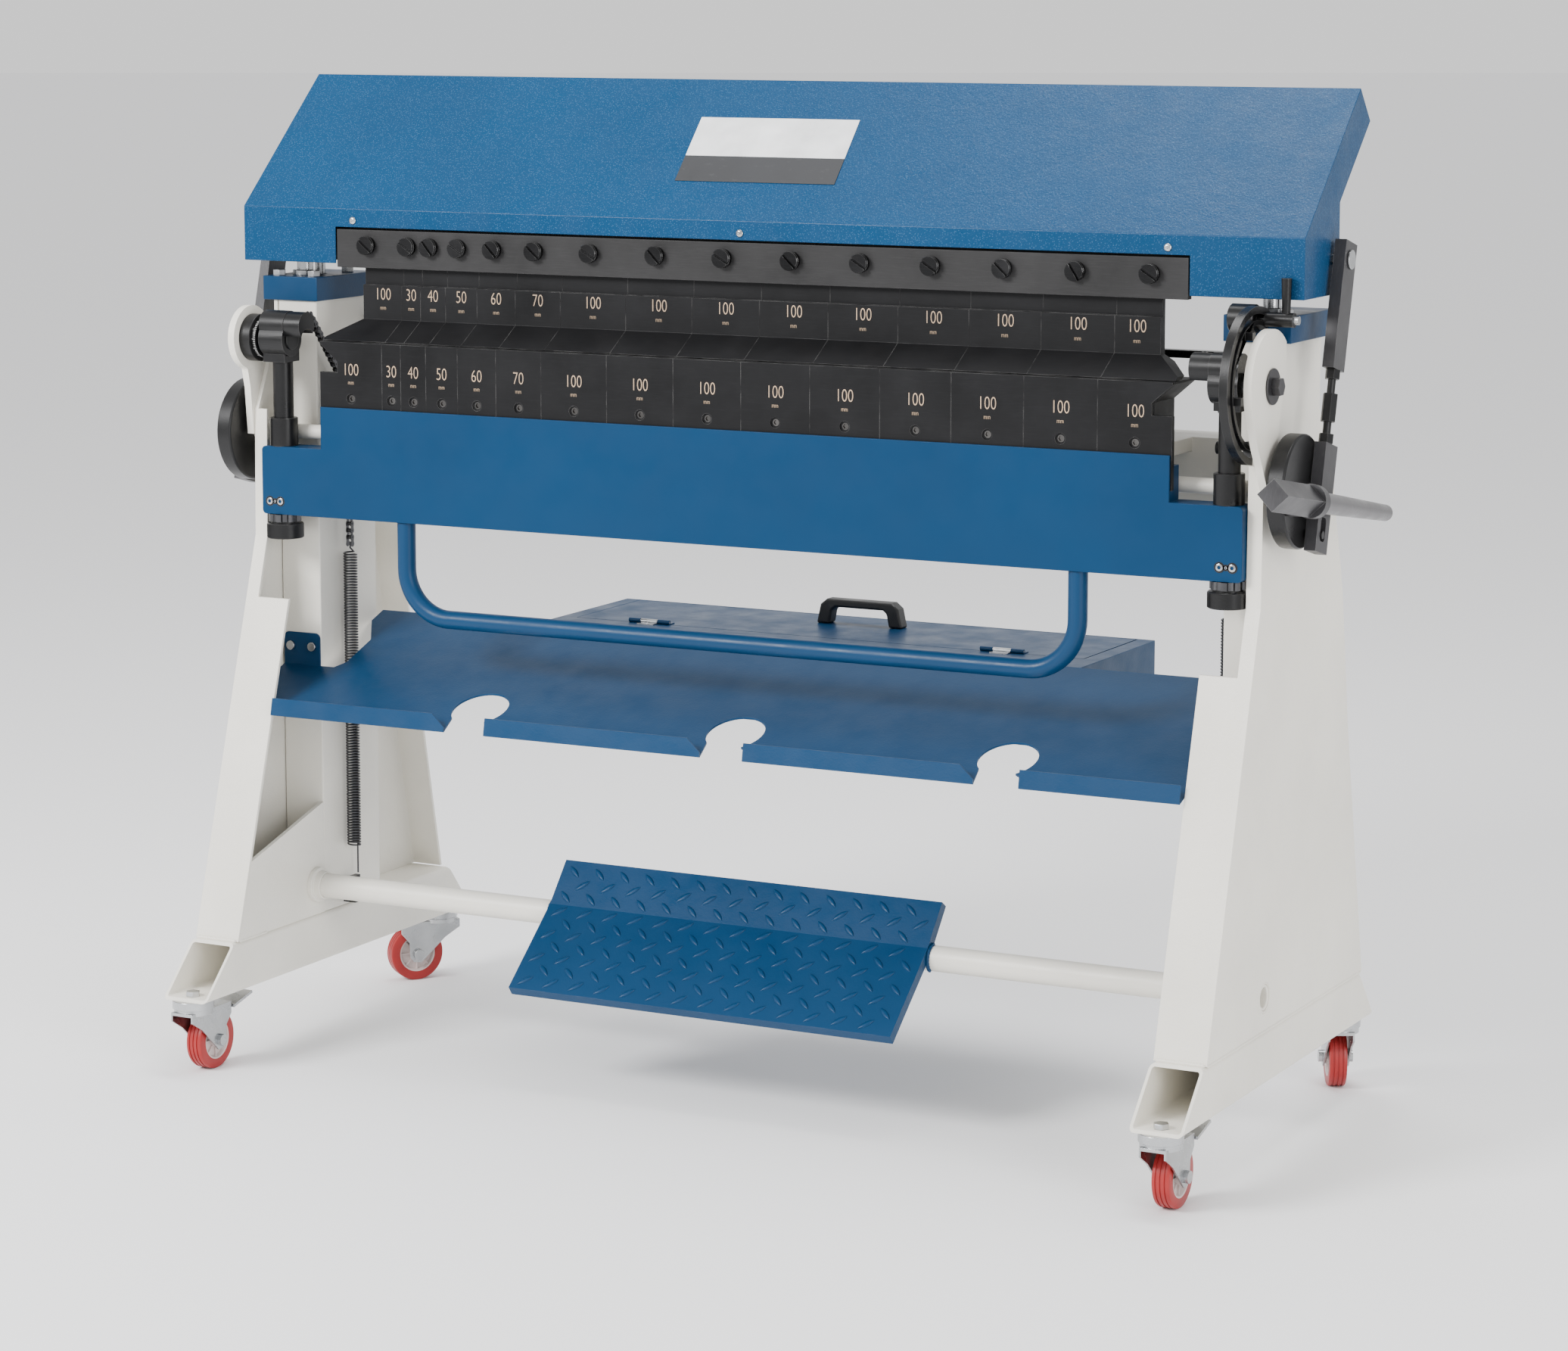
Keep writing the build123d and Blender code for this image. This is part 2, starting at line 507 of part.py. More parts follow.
def clamping_crank():
    add("link_left", *link(-1))
    add("link_right", *link(1))
    add("crank_shaft", rod_x(-DISC_OUT, DISC_OUT, CRANK_Y, CRANK_Z, CRANK_SHAFT_R))
    disc = rod_x(DISC_IN, DISC_OUT, CRANK_Y, CRANK_Z, DISC_R)
    disc = chamfer(disc.edges().filter_by(GeomType.CIRCLE), 2)
    disc -= rod_x(DISC_IN - 1, DISC_OUT + 1, CRANK_Y, CRANK_Z, CRANK_SHAFT_R)
    pin = rod_x(DISC_OUT, LINK_OUT + 2, *CRANK_PIN, CRANK_PIN_R)
    add("crank_discs", *both(disc + pin))

    head, tip = (-153.0, 873.0), (245.0, 806.0)
    length = hypot(tip[0] - head[0], tip[1] - head[1])
    tilt = Pos(LEVER_X, *head) * Rot(-degrees(atan2(head[1] - tip[1], tip[0] - head[0])), 0, 0)
    square = Pos(0, 64, 0) * Rot(0, 45, 0) * Box(28, 128, 28)
    collar = Pos(0, 135, 0) * Rot(90, 0, 0) * Cylinder(21, 16)
    bar = Pos(0, (128 + length) / 2, 0) * Rot(90, 0, 0) * Cone(10.5, 14, length - 128)
    lever = tilt * (square + collar + bar)
    lever += block(DISC_OUT, LEVER_X - 6, -12, 16, 830, 860)
    add("hand_lever", lever)


def foot_pedal():
    tube = rod_x(-PANEL_OUT + 1, PANEL_OUT - 1, PEDAL_Y, PEDAL_Z, PEDAL_SHAFT_R)
    tube -= rod_x(-PANEL_OUT, PANEL_OUT, PEDAL_Y, PEDAL_Z, PEDAL_SHAFT_R - 4)
    add("pedal_shaft", tube)

    back, fold, front = (71.0, 284.0), (27.0, 232.0), (-83.0, 140.0)

    def treadle(depth, x0, x1):
        outline = [back, fold, front, (front[0] + 0.6 * depth, front[1] - 0.8 * depth),
                   (fold[0] + 0.78 * depth, fold[1] - 0.70 * depth),
                   (back[0] + 0.83 * depth, back[1] - 0.56 * depth)]
        return slab_x(outline, x0, x1)

    plate = treadle(5, -PEDAL_HALF, PEDAL_HALF)
    for side in (-1, 1):
        x0, x1 = sorted((side * PEDAL_HALF, side * (PEDAL_HALF - 5)))
        plate += treadle(14, x0, x1)
    edge = slab_x([front, (front[0] + 4, front[1] + 3), (front[0] + 12.4, front[1] - 8.2),
                   (front[0] + 8.4, front[1] - 11.2)], -PEDAL_HALF, PEDAL_HALF)
    plate += edge
    plate -= rod_x(-400, 400, PEDAL_Y, PEDAL_Z, PEDAL_SHAFT_R)
    add("pedal_plate", plate)

    y_pin = PEDAL_Y + PEDAL_ARM * cos(radians(PEDAL_ARM_TILT))
    z_pin = PEDAL_Z - PEDAL_ARM * sin(radians(PEDAL_ARM_TILT))
    bar = Pos(696, PEDAL_Y, PEDAL_Z) * Rot(-PEDAL_ARM_TILT, 0, 0) * (
        Pos(0, PEDAL_ARM / 2, 0) * Box(12, PEDAL_ARM, 18))
    arm = rod_x(690, 702, PEDAL_Y, PEDAL_Z, 24) + bar + rod_x(690, 702, y_pin, z_pin, 9)
    arm -= rod_x(689, 703, PEDAL_Y, PEDAL_Z, PEDAL_SHAFT_R)
    arm += rod_x(702, 716, y_pin, z_pin, 5)
    add("pedal_arms", *both(arm))


# ---- folding leaf ---------------------------------------------------------------------------
def folding_leaf():
    block_shape = rod_x(676, 715, FOLD_Y, FOLD_Z, 24) + rod_x(676, 715, HUB_Y, HUB_Z, 20)
    block_shape += block(680, 715, -4, 32, 952, FOLD_Z)
    block_shape += rod_x(650, 676, HUB_Y, HUB_Z, HUB_R)
    block_shape -= rod_x(640, 716, FOLD_Y, FOLD_Z, 15 + RUNNING_FIT)
    add("swing_arms", *both(block_shape))
    spindle = rod_z(730, 952, SPINDLE_X, SPINDLE_Y, SPINDLE_R)
    spindle += rod_z(709.5, 730, SPINDLE_X, SPINDLE_Y, 9)
    add("spindles", *both(spindle))

    section = [(LEAF_FRONT, LEAF_BOTTOM), (28, LEAF_BOTTOM), (28, 880), (7, 880), (7, 850),
               (0, 850), (0, LEAF_TOP), (LEAF_FRONT, LEAF_TOP)]
    beam = slab_x(section, -LEAF_HALF, LEAF_HALF)
    beam -= block(-LEAF_HALF + 6, LEAF_HALF - 6, 0, 24, LEAF_BOTTOM + 6, 844)
    end = block(LEAF_HALF - 3, LEAF_END, LEAF_FRONT, 34, LEAF_BOTTOM, LEAF_STEP)
    end = fillet(end.edges().filter_by(Axis.Y).group_by(Axis.X)[-1], 6)
    end -= rod_z(700, 900, SPINDLE_X, SPINDLE_Y, SPINDLE_R + RUNNING_FIT)
    beam += end
    beam += other_side(end)
    add("leaf_beam", beam)

    tip, inner = HALF_BLADE + 1, HALF_BLADE - 28
    undercut = slab_y([(tip, 942), (inner, 942), (inner, 957), (tip, FOLD_Z - 2)], -5, 12)
    segments = []
    for x0, x1 in segment_edges():
        segment = block(x0, x1, 0, 7, 850, FOLD_Z - 0.5)
        bore = rod_y(-1, 8, (x0 + x1) / 2, 907, 4.5) + rod_y(-1, 2.5, (x0 + x1) / 2, 907, 7)
        segment -= bore
        segment -= undercut
        segment -= other_side(undercut)
        segments.append(segment)
    add("leaf_segments", *segments)

    path = Plane.XZ.offset(-12) * FilletPolyline(
        (-HANDLE_X, LEAF_BOTTOM), (-HANDLE_X, HANDLE_Z), (HANDLE_X, HANDLE_Z),
        (HANDLE_X, LEAF_BOTTOM), radius=67)
    ring = Plane(origin=path @ 0, z_dir=path % 0) * (Circle(HANDLE_R) - Circle(HANDLE_R - 2.5))
    add("pull_handle", sweep(ring, path))

    sleeve = rod_z(LEAF_STEP, 875, SPINDLE_X, SPINDLE_Y, 19.5)
    sleeve -= rod_z(700, 900, SPINDLE_X, SPINDLE_Y, SPINDLE_R + RUNNING_FIT)
    plate = block(683, 715, LEAF_FRONT - 2, LEAF_FRONT, 753, 767)
    screws = [rod_y(LEAF_FRONT - 5, LEAF_FRONT - 2, x, 760, 4) for x in (690, 708)]
    add("leaf_end_fittings", *both(sleeve), *both(plate), *both(screws[0]), *both(screws[1]))

    for name, side in (("left", -1), ("right", 1)):
        knob = rod_z(708, 734, side * SPINDLE_X, SPINDLE_Y, 25.5)
        knob = chamfer(knob.edges().filter_by(GeomType.CIRCLE), 2)
        knob += rod_z(734, LEAF_BOTTOM, side * SPINDLE_X, SPINDLE_Y, 20)
        knob -= rod_z(700, 730, side * SPINDLE_X, SPINDLE_Y, 9 + RUNNING_FIT)
        knob -= rod_z(729.5, 750, side * SPINDLE_X, SPINDLE_Y, SPINDLE_R + RUNNING_FIT)
        add(f"knurled_knob_{name}", knob)


# ---- casters --------------------------------------------------------------------------------
def casters():
    """Each caster is drawn with its wheel trailing along +X, then turned and set in place."""
    mounts = []
    for name, x, y, heading, brake in CASTERS:
        place = Pos(x, y, 0) * Rot(0, 0, heading)
        plate = rod_z(91.5, TUBE_BOTTOM, 0, 0, 28) + rod_z(94, TUBE_BOTTOM + 4, 0, 0, 5)
        bolt = hex_z(TUBE_BOTTOM + 4, TUBE_BOTTOM + 11, 0, 0, 10)
        mounts.append(Pos(x, y, 0) * (plate + bolt))
        leg = [(-27, 88), (64, 88), (64, 72), (52, 58), (51, 36), (45, 28), (33, 27),
               (24, 36), (-4, 62), (-27, 76)]
        fork = block(-27, 64, -17.5, 17.5, 84, 88) + rod_z(84, 91.2, 0, 0, 26)
        axle = rod_y(-22, 22, TRAIL, WHEEL_R, 5)
        for side in (-1, 1):
            y0, y1 = sorted((side * 15, side * 17.5))
            fork += slab_y(leg, y0, y1)
            head0, head1 = sorted((side * 17.5, side * 23))
            axle += rod_y(head0, head1, TRAIL, WHEEL_R, 8)
        fork -= rod_y(-18, 18, TRAIL, WHEEL_R, 5)
        if brake:
            fork -= rod_y(-18, 18, 58, 80, 2.5 + RUNNING_FIT)
        add(f"caster_fork_{name}", place * fork, place * axle)

        wheel = rod_y(-WHEEL_HALF, WHEEL_HALF, TRAIL, WHEEL_R, WHEEL_R)
        wheel = fillet(wheel.edges().filter_by(GeomType.CIRCLE), 4)
        wheel += rod_y(-14, 14, TRAIL, WHEEL_R, 11)
        wheel -= rod_y(-15, 15, TRAIL, WHEEL_R, 5 + RUNNING_FIT)
        add(f"caster_wheel_{name}", place * wheel)

        if brake:
            lever = [(56, 78), (66, 79), (110, 90), (109, 93.5), (66, 83), (56, 82.5)]
            pedal = slab_y(lever, -13, 13) + slab_y(lever[1:5], -21, 21)
            pedal += rod_y(-17.5, 17.5, 58, 80, 2.5)
            add(f"brake_pedal_{name}", place * pedal)
    add("caster_mounts", *mounts)


def build():
    base_tubes()
    side_panels()
    columns()
    head_plates()
    gusset_plates()
    column_caps()
    guide_posts()
    bed()
    pivots()
    angle_arc()
    angle_stop()
    shaft_bushes()
    counterbalance()
    tool_tray()
    storage_box()
    hood()
    upper_beam()
    upper_blades()
    clamping_crank()
    foot_pedal()
    folding_leaf()
    casters()


def write():
    """Move the whole brake so that its box stands centred on the origin, and save each node."""
    os.makedirs("parts", exist_ok=True)
    box = Compound([solid for group in nodes.values() for solid in group]).bounding_box()
    shift = Pos(-(box.min.X + box.max.X) / 2, -(box.min.Y + box.max.Y) / 2, -box.min.Z)
    print(f"{len(nodes)} nodes, moved by {shift.position}")
    for name, solids in nodes.items():
        moved = [shift * solid for solid in solids]
        export_step(moved[0] if len(moved) == 1 else Compound(moved), f"parts/{name}.step")


build()
write()
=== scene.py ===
"""Looks of the sheet metal brake: rounded skins, markings, springs, chains, wheels, paint and light.

Lengths given to at() are millimetres from the middle of the blades, the front of the leaf's
segments and the floor.  Everything else is in metres.
"""
import json
import math
import random

import bmesh
import bpy
from mathutils import Matrix, Vector


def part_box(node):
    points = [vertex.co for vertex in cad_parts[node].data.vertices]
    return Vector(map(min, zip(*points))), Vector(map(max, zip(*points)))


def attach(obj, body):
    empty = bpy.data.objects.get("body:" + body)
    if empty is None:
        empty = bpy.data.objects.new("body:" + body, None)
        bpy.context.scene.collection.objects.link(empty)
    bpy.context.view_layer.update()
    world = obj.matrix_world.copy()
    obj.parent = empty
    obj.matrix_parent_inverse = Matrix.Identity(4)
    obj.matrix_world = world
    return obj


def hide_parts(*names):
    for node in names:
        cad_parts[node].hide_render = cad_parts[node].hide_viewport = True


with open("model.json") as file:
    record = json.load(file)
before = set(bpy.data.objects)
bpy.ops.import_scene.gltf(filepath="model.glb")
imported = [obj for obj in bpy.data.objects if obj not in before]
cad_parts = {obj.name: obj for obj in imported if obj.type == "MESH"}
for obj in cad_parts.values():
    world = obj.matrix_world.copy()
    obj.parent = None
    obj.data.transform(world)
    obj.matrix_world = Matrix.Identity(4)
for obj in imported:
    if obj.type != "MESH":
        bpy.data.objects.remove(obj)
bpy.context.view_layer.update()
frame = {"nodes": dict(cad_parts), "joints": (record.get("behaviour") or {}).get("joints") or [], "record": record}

MM = 0.001
nodes = frame["nodes"]
joints = {joint["name"]: joint for joint in frame["joints"]}
body_of_node = {node: body for body, members in frame["record"]["behaviour"]["bodies"].items()
                for node in members}
slot_of_node = {row["node"]: row["material_slot"] for row in frame["record"]["subparts"]}

HOOD_LOW, HOOD_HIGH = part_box("hood")
LEAF_LOW, LEAF_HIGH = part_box("leaf_segments")
MIDDLE_X = (HOOD_LOW.x + HOOD_HIGH.x) / 2
FRONT_Y = LEAF_LOW.y

SEGMENT_WIDTHS = [100, 30, 40, 50, 60, 70] + [100] * 9
HOLE_Z = 907
FOLD = (8, 984)
PULLEY = (97, 895)
CHAIN_HUB = (6, 1003)
CHAIN_TURN = 20
CHAIN_X = 657
SPRING_Y = 117
SPRING_ENDS = (258, 678)
SPINDLE = (695, 14)
TREAD_FOLD = (27, 232)
TREAD_FRONT = (-83, 140)
TREAD_BACK = (71, 284)
TREAD_HALF = 283
PEDAL_SHAFT = (42, 216)
SIDES = (("left", -1), ("right", 1))
random.seed(7)


def at(x, y, z):
    return Vector((MIDDLE_X + x * MM, FRONT_Y + y * MM, z * MM))


def segment_centres():
    x = -sum(SEGMENT_WIDTHS) / 2
    for width in SEGMENT_WIDTHS:
        yield width, x + width / 2
        x += width


# ---- materials ----------------------------------------------------------------------------
class Look:
    """One procedural material, with short ways to add its textures."""

    def __init__(self, name, metallic, roughness, **sockets):
        self.material = bpy.data.materials.new(name)
        self.material.use_nodes = True
        self.tree = self.material.node_tree
        self.shader = self.tree.nodes["Principled BSDF"]
        self.shader.inputs["Metallic"].default_value = metallic
        self.shader.inputs["Roughness"].default_value = roughness
        for socket, value in sockets.items():
            self.shader.inputs[socket.replace("_", " ")].default_value = value
        self.place = self.tree.nodes.new("ShaderNodeTexCoord").outputs["Object"]
        self.normal = None

    def join(self, source, target):
        self.tree.links.new(source, target)

    def stretched(self, scale):
        mapping = self.tree.nodes.new("ShaderNodeMapping")
        mapping.inputs["Scale"].default_value = scale
        self.join(self.place, mapping.inputs["Vector"])
        return mapping.outputs["Vector"]

    def noise(self, scale, detail=4, rough=0.55, place=None):
        node = self.tree.nodes.new("ShaderNodeTexNoise")
        node.inputs["Scale"].default_value = scale
        node.inputs["Detail"].default_value = detail
        node.inputs["Roughness"].default_value = rough
        self.join(place or self.place, node.inputs["Vector"])
        return node.outputs["Fac"]

    def cells(self, scale):
        node = self.tree.nodes.new("ShaderNodeTexVoronoi")
        node.inputs["Scale"].default_value = scale
        self.join(self.place, node.inputs["Vector"])
        return node

    def edges(self, radius):
        """1 on rounded or sharp edges, 0 on flat surfaces."""
        bevel = self.tree.nodes.new("ShaderNodeBevel")
        bevel.samples = 4
        bevel.inputs["Radius"].default_value = radius
        surface = self.tree.nodes.new("ShaderNodeNewGeometry")
        dot = self.tree.nodes.new("ShaderNodeVectorMath")
        dot.operation = "DOT_PRODUCT"
        self.join(bevel.outputs["Normal"], dot.inputs[0])
        self.join(surface.outputs["Normal"], dot.inputs[1])
        return self.scaled(dot.outputs["Value"], 0.99, 0.86, 0.0, 1.0)

    def scaled(self, value, low, high, to_low, to_high):
        node = self.tree.nodes.new("ShaderNodeMapRange")
        for socket, number in zip(("From Min", "From Max", "To Min", "To Max"),
                                  (low, high, to_low, to_high)):
            node.inputs[socket].default_value = number
        self.join(value, node.inputs["Value"])
        return node.outputs["Result"]

    def times(self, a, b):
        node = self.tree.nodes.new("ShaderNodeMath")
        node.operation = "MULTIPLY"
        self.join(a, node.inputs[0])
        self.join(b, node.inputs[1])
        return node.outputs["Value"]

    def colours(self, value, *stops):
        node = self.tree.nodes.new("ShaderNodeValToRGB")
        ramp = node.color_ramp
        ramp.elements[0].position, ramp.elements[1].position = stops[0][0], stops[-1][0]
        ramp.elements[0].color = (*stops[0][1], 1)
        ramp.elements[1].color = (*stops[-1][1], 1)
        for position, colour in stops[1:-1]:
            ramp.elements.new(position).color = (*colour, 1)
        self.join(value, node.inputs["Fac"])
        return node.outputs["Color"]

    def mixed(self, value, under, over):
        """under where value is 0 and over where it is 1; each a colour or a socket."""
        node = self.tree.nodes.new("ShaderNodeMix")
        node.data_type = "RGBA"
        self.join(value, node.inputs["Factor"])
        for socket, colour in ((node.inputs["A"], under), (node.inputs["B"], over)):
            if isinstance(colour, bpy.types.NodeSocket):
                self.join(colour, socket)
            else:
                socket.default_value = (*colour, 1)
        return node.outputs["Result"]

    def bump(self, height, distance, strength=1.0):
        node = self.tree.nodes.new("ShaderNodeBump")
        node.inputs["Distance"].default_value = distance
        node.inputs["Strength"].default_value = strength
        self.join(height, node.inputs["Height"])
        if self.normal:
            self.join(self.normal, node.inputs["Normal"])
        self.normal = node.outputs["Normal"]

    def done(self, colour=None, roughness=None):
        if colour:
            self.join(colour, self.shader.inputs["Base Color"])
        if roughness:
            self.join(roughness, self.shader.inputs["Roughness"])
        if self.normal:
            self.join(self.normal, self.shader.inputs["Normal"])
        return self.material


def shade(colour, factor):
    return tuple(min(1.0, c * factor) for c in colour)


def paint(name, colour, roughness, peel, shine, flake_glints=0.0):
    """Baked paint: orange peel, faint clouding, handling marks, worn edges and, if asked, flakes whose sparkle is
    a painted glint.
    """
    look = Look(name, 0.0, roughness, Specular_IOR_Level=shine)
    clouds = look.noise(5.0, 5)
    tone = look.colours(clouds, (0.3, shade(colour, 0.93)), (0.7, shade(colour, 1.05)))
    smears = look.noise(14.0, 6, 0.65, look.stretched((1.0, 1.0, 0.35)))
    dust = look.scaled(smears, 0.56, 0.80, 0.0, 0.07)
    tone = look.mixed(dust, tone, shade(colour, 0.78))
    # flakes: small specks lightened in the colour itself, partly the paint's own flakes and partly their sparkle
    # as a painted glint
    if flake_glints:
        flake_cells = look.cells(400.0)
        flake_glint = look.scaled(flake_cells.outputs["Distance"], 0.34, 0.10, 0.0, flake_glints)
        tone = look.mixed(flake_glint, tone, (0.10, 0.25, 0.45))
    worn = look.times(look.edges(0.0012), look.scaled(look.noise(38.0, 5), 0.48, 0.62, 0.0, 0.35))
    tone = look.mixed(worn, tone, tuple(0.8 * c + 0.10 for c in colour))
    look.bump(look.noise(380.0, 2), peel)
    look.bump(look.noise(60.0, 3), peel * 1.5)
    return look.done(tone, look.scaled(look.noise(22.0, 5), 0.3, 0.7, roughness - 0.07, roughness + 0.1))


def blackened(name, colour, roughness, metallic=0.35, grain=(6.0, 90.0, 90.0), edge=0.55, shine=0.5):
    """Blackened or phosphated steel: cloudy oil film, grinding lines and rubbed edges."""
    look = Look(name, metallic, roughness, Specular_IOR_Level=shine)
    clouds = look.noise(9.0, 6, 0.6)
    tone = look.colours(clouds, (0.28, shade(colour, 0.7)), (0.55, colour), (0.75, shade(colour, 1.5)))
    lines = look.noise(7.0, 5, 0.6, look.stretched(grain))
    tone = look.mixed(look.scaled(lines, 0.5, 0.75, 0.0, 0.22), tone, shade(colour, 2.2))
    rubbed = look.times(look.edges(0.0009), look.scaled(look.noise(45.0, 4), 0.4, 0.6, 0.1, edge))
    tone = look.mixed(rubbed, tone, (0.27, 0.265, 0.26))
    look.bump(lines, 0.00012, 0.6)
    look.bump(look.noise(750.0, 2), 0.00006, 0.7)
    return look.done(tone, look.scaled(clouds, 0.3, 0.7, roughness - 0.12, roughness + 0.12))


def bare_metal(name, colour, roughness, grain=(40.0, 40.0, 40.0)):
    """Plated or machined steel: fine lines, dull patches."""
    look = Look(name, 1.0, roughness)
    clouds = look.noise(26.0, 5)
    tone = look.colours(clouds, (0.3, shade(colour, 0.82)), (0.7, shade(colour, 1.08)))
    lines = look.noise(12.0, 4, 0.6, look.stretched(grain))
    look.bump(lines, 0.00005, 0.6)
    return look.done(tone, look.scaled(clouds, 0.3, 0.75, roughness - 0.08, roughness + 0.16))


def moulded(name, colour, roughness, texture=0.00008):
    """Moulded plastic or rubber with a fine texture and slight scuffs."""
    look = Look(name, 0.0, roughness)
    clouds = look.noise(18.0, 5)
    tone = look.colours(clouds, (0.3, shade(colour, 0.85)), (0.7, shade(colour, 1.12)))
    scuffs = look.noise(60.0, 6, 0.7, look.stretched((1.0, 2.5, 1.0)))
    tone = look.mixed(look.scaled(scuffs, 0.6, 0.78, 0.0, 0.25), tone, tuple(c * 0.7 + 0.12 for c in colour))
    look.bump(look.noise(900.0, 2), texture)
    return look.done(tone, look.scaled(clouds, 0.3, 0.7, roughness - 0.08, roughness + 0.1))


CREAM = paint("cream_powder_coat", (0.83, 0.80, 0.72), 0.38, 0.00022, 0.5)
HOOD_BLUE = paint("hood_blue_texture_paint", (0.0020, 0.046, 0.125), 0.34, 0.00030, 0.17, flake_glints=0.34)
BLUE = paint("blue_paint", (0.0018, 0.038, 0.105), 0.36, 0.00012, 0.22)
LEAF_BLUE = paint("leaf_blue_paint", (0.0016, 0.036, 0.100), 0.40, 0.00006, 0.15)
BLADE = blackened("blackened_blades", (0.0085, 0.0085, 0.0093), 0.46, 0.1, shine=0.16)
STRIP = blackened("clamp_strip_steel", (0.021, 0.0205, 0.021), 0.50, 0.15, shine=0.3)
BLACK = blackened("blackened_steel", (0.007, 0.007, 0.0075), 0.34, 0.2, (60.0, 60.0, 60.0), 0.4, 0.4)
GREY = blackened("phosphated_steel", (0.040, 0.039, 0.042), 0.40, 0.4, (60.0, 60.0, 8.0), 0.8)
LEVER = bare_metal("lever_steel", (0.19, 0.185, 0.19), 0.30, (60.0, 6.0, 60.0))
ZINC = bare_metal("zinc_plate", (0.50, 0.51, 0.52), 0.24)
SPRING = bare_metal("spring_wire", (0.09, 0.09, 0.095), 0.30)
PLASTIC = moulded("black_plastic", (0.018, 0.018, 0.019), 0.42)
TREAD = moulded("red_tread", (0.34, 0.012, 0.012), 0.40)
NYLON = moulded("pale_nylon", (0.60, 0.50, 0.48), 0.38)
MARKING = moulded("engraved_marking", (0.46, 0.33, 0.22), 0.7)
WHITE_MARK = moulded("scale_marking", (0.78, 0.78, 0.76), 0.5)
PLATE_WHITE = moulded("label_white", (0.80, 0.81, 0.82), 0.32, 0.00002)
PLATE_DARK = moulded("label_dark", (0.022, 0.023, 0.026), 0.55, 0.00002)
GLOSS_BLACK = blackened("oiled_screw", (0.020, 0.020, 0.021), 0.22, 0.8)
SCREW_STEEL = bare_metal("socket_screw_steel", (0.13, 0.125, 0.12), 0.16)


# ---- pieces -------------------------------------------------------------------------------
def publish(name, mesh, look, body, slot=None, replaced=(), smooth_below=35):
    """Put a finished mesh into the scene as a piece that rides on a body."""
    if not mesh.materials:
        mesh.materials.append(look)
    mesh.shade_smooth()
    mesh.set_sharp_from_angle(angle=math.radians(smooth_below))
    piece = bpy.data.objects.new(name, mesh)
    bpy.context.scene.collection.objects.link(piece)
    if replaced:
        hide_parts(*replaced)
    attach(piece, body)
    return piece


def second_look(piece, look, chosen):
    """Give another material to the faces whose centre passes the test."""
    piece.data.materials.append(look)
    for face in piece.data.polygons:
        if chosen(face.center):
            face.material_index = 1


def skin(name, look, width=0.8, steps=2):
    """A copy of a CAD node with its sharp edges rounded, shown in its place."""
    shape = bmesh.new()
    shape.from_mesh(nodes[name].data)
    bmesh.ops.remove_doubles(shape, verts=shape.verts, dist=3e-6)
    bmesh.ops.dissolve_limit(shape, angle_limit=math.radians(0.5), verts=shape.verts,
                             edges=shape.edges, delimit={"NORMAL"})
    mesh = bpy.data.meshes.new(name + "_skin")
    shape.to_mesh(mesh)
    shape.free()
    piece = publish(name + "_skin", mesh, look, body_of_node[name], slot_of_node[name], [name])
    bevel = piece.modifiers.new("rounded", "BEVEL")
    bevel.width = width * MM
    bevel.segments = steps
    bevel.limit_method = "ANGLE"
    bevel.angle_limit = math.radians(42)
    bevel.miter_outer = "MITER_ARC"
    weighted = piece.modifiers.new("flat_faces", "WEIGHTED_NORMAL")
    weighted.keep_sharp = True
    return piece


def lathe(shape, profile, steps=48):
    """Closed ring of the (radius, along) points round local Y; returns its new vertices."""
    rings = []
    for i in range(steps):
        angle = math.tau * i / steps
        ring = [shape.verts.new((r * math.cos(angle) * MM, a * MM, r * math.sin(angle) * MM))
                for r, a in profile]
        rings.append(ring)
    for i, ring in enumerate(rings):
        following = rings[(i + 1) % steps]
        for j in range(len(profile)):
            k = (j + 1) % len(profile)
            shape.faces.new((ring[j], ring[k], following[k], following[j]))
    return [vertex for ring in rings for vertex in ring]


def solid_lathe(shape, profile, steps=48):
    """As lathe, for a profile whose first and last points lie on the axis."""
    inner = profile[1:-1]
    tips = [shape.verts.new((0, profile[0][1] * MM, 0)), shape.verts.new((0, profile[-1][1] * MM, 0))]
    rings = []
    for i in range(steps):
        angle = math.tau * i / steps
        rings.append([shape.verts.new((r * math.cos(angle) * MM, a * MM, r * math.sin(angle) * MM))
                      for r, a in inner])
    for i, ring in enumerate(rings):
        following = rings[(i + 1) % steps]
        shape.faces.new((tips[0], ring[0], following[0]))
        shape.faces.new((tips[1], following[-1], ring[-1]))
        for j in range(len(inner) - 1):
            shape.faces.new((ring[j], ring[j + 1], following[j + 1], following[j]))
    return tips + [vertex for ring in rings for vertex in ring]


def moved(shape, vertices, matrix):
    bmesh.ops.transform(shape, matrix=matrix, verts=vertices)


def finished(shape, name):
    bmesh.ops.recalc_face_normals(shape, faces=shape.faces)
    mesh = bpy.data.meshes.new(name)
    shape.to_mesh(mesh)
    shape.free()
    return mesh


def bridge(shape, rings):
    """Faces between each closed ring of vertices and the next."""
    for ring, following in zip(rings, rings[1:]):
        for k, vertex in enumerate(ring):
            n = (k + 1) % len(ring)
            shape.faces.new((vertex, ring[n], following[n], following[k]))


def prism(shape, outline, depth):
    """Outline of local X and Z in millimetres, extruded along local +Y; returns its vertices."""
    near = [shape.verts.new((x * MM, 0, z * MM)) for x, z in outline]
    far = [shape.verts.new((x * MM, depth * MM, z * MM)) for x, z in outline]
    shape.faces.new(near)
    shape.faces.new(list(reversed(far)))
    for i in range(len(outline)):
        j = (i + 1) % len(outline)
        shape.faces.new((near[i], far[i], far[j], near[j]))
    return near + far


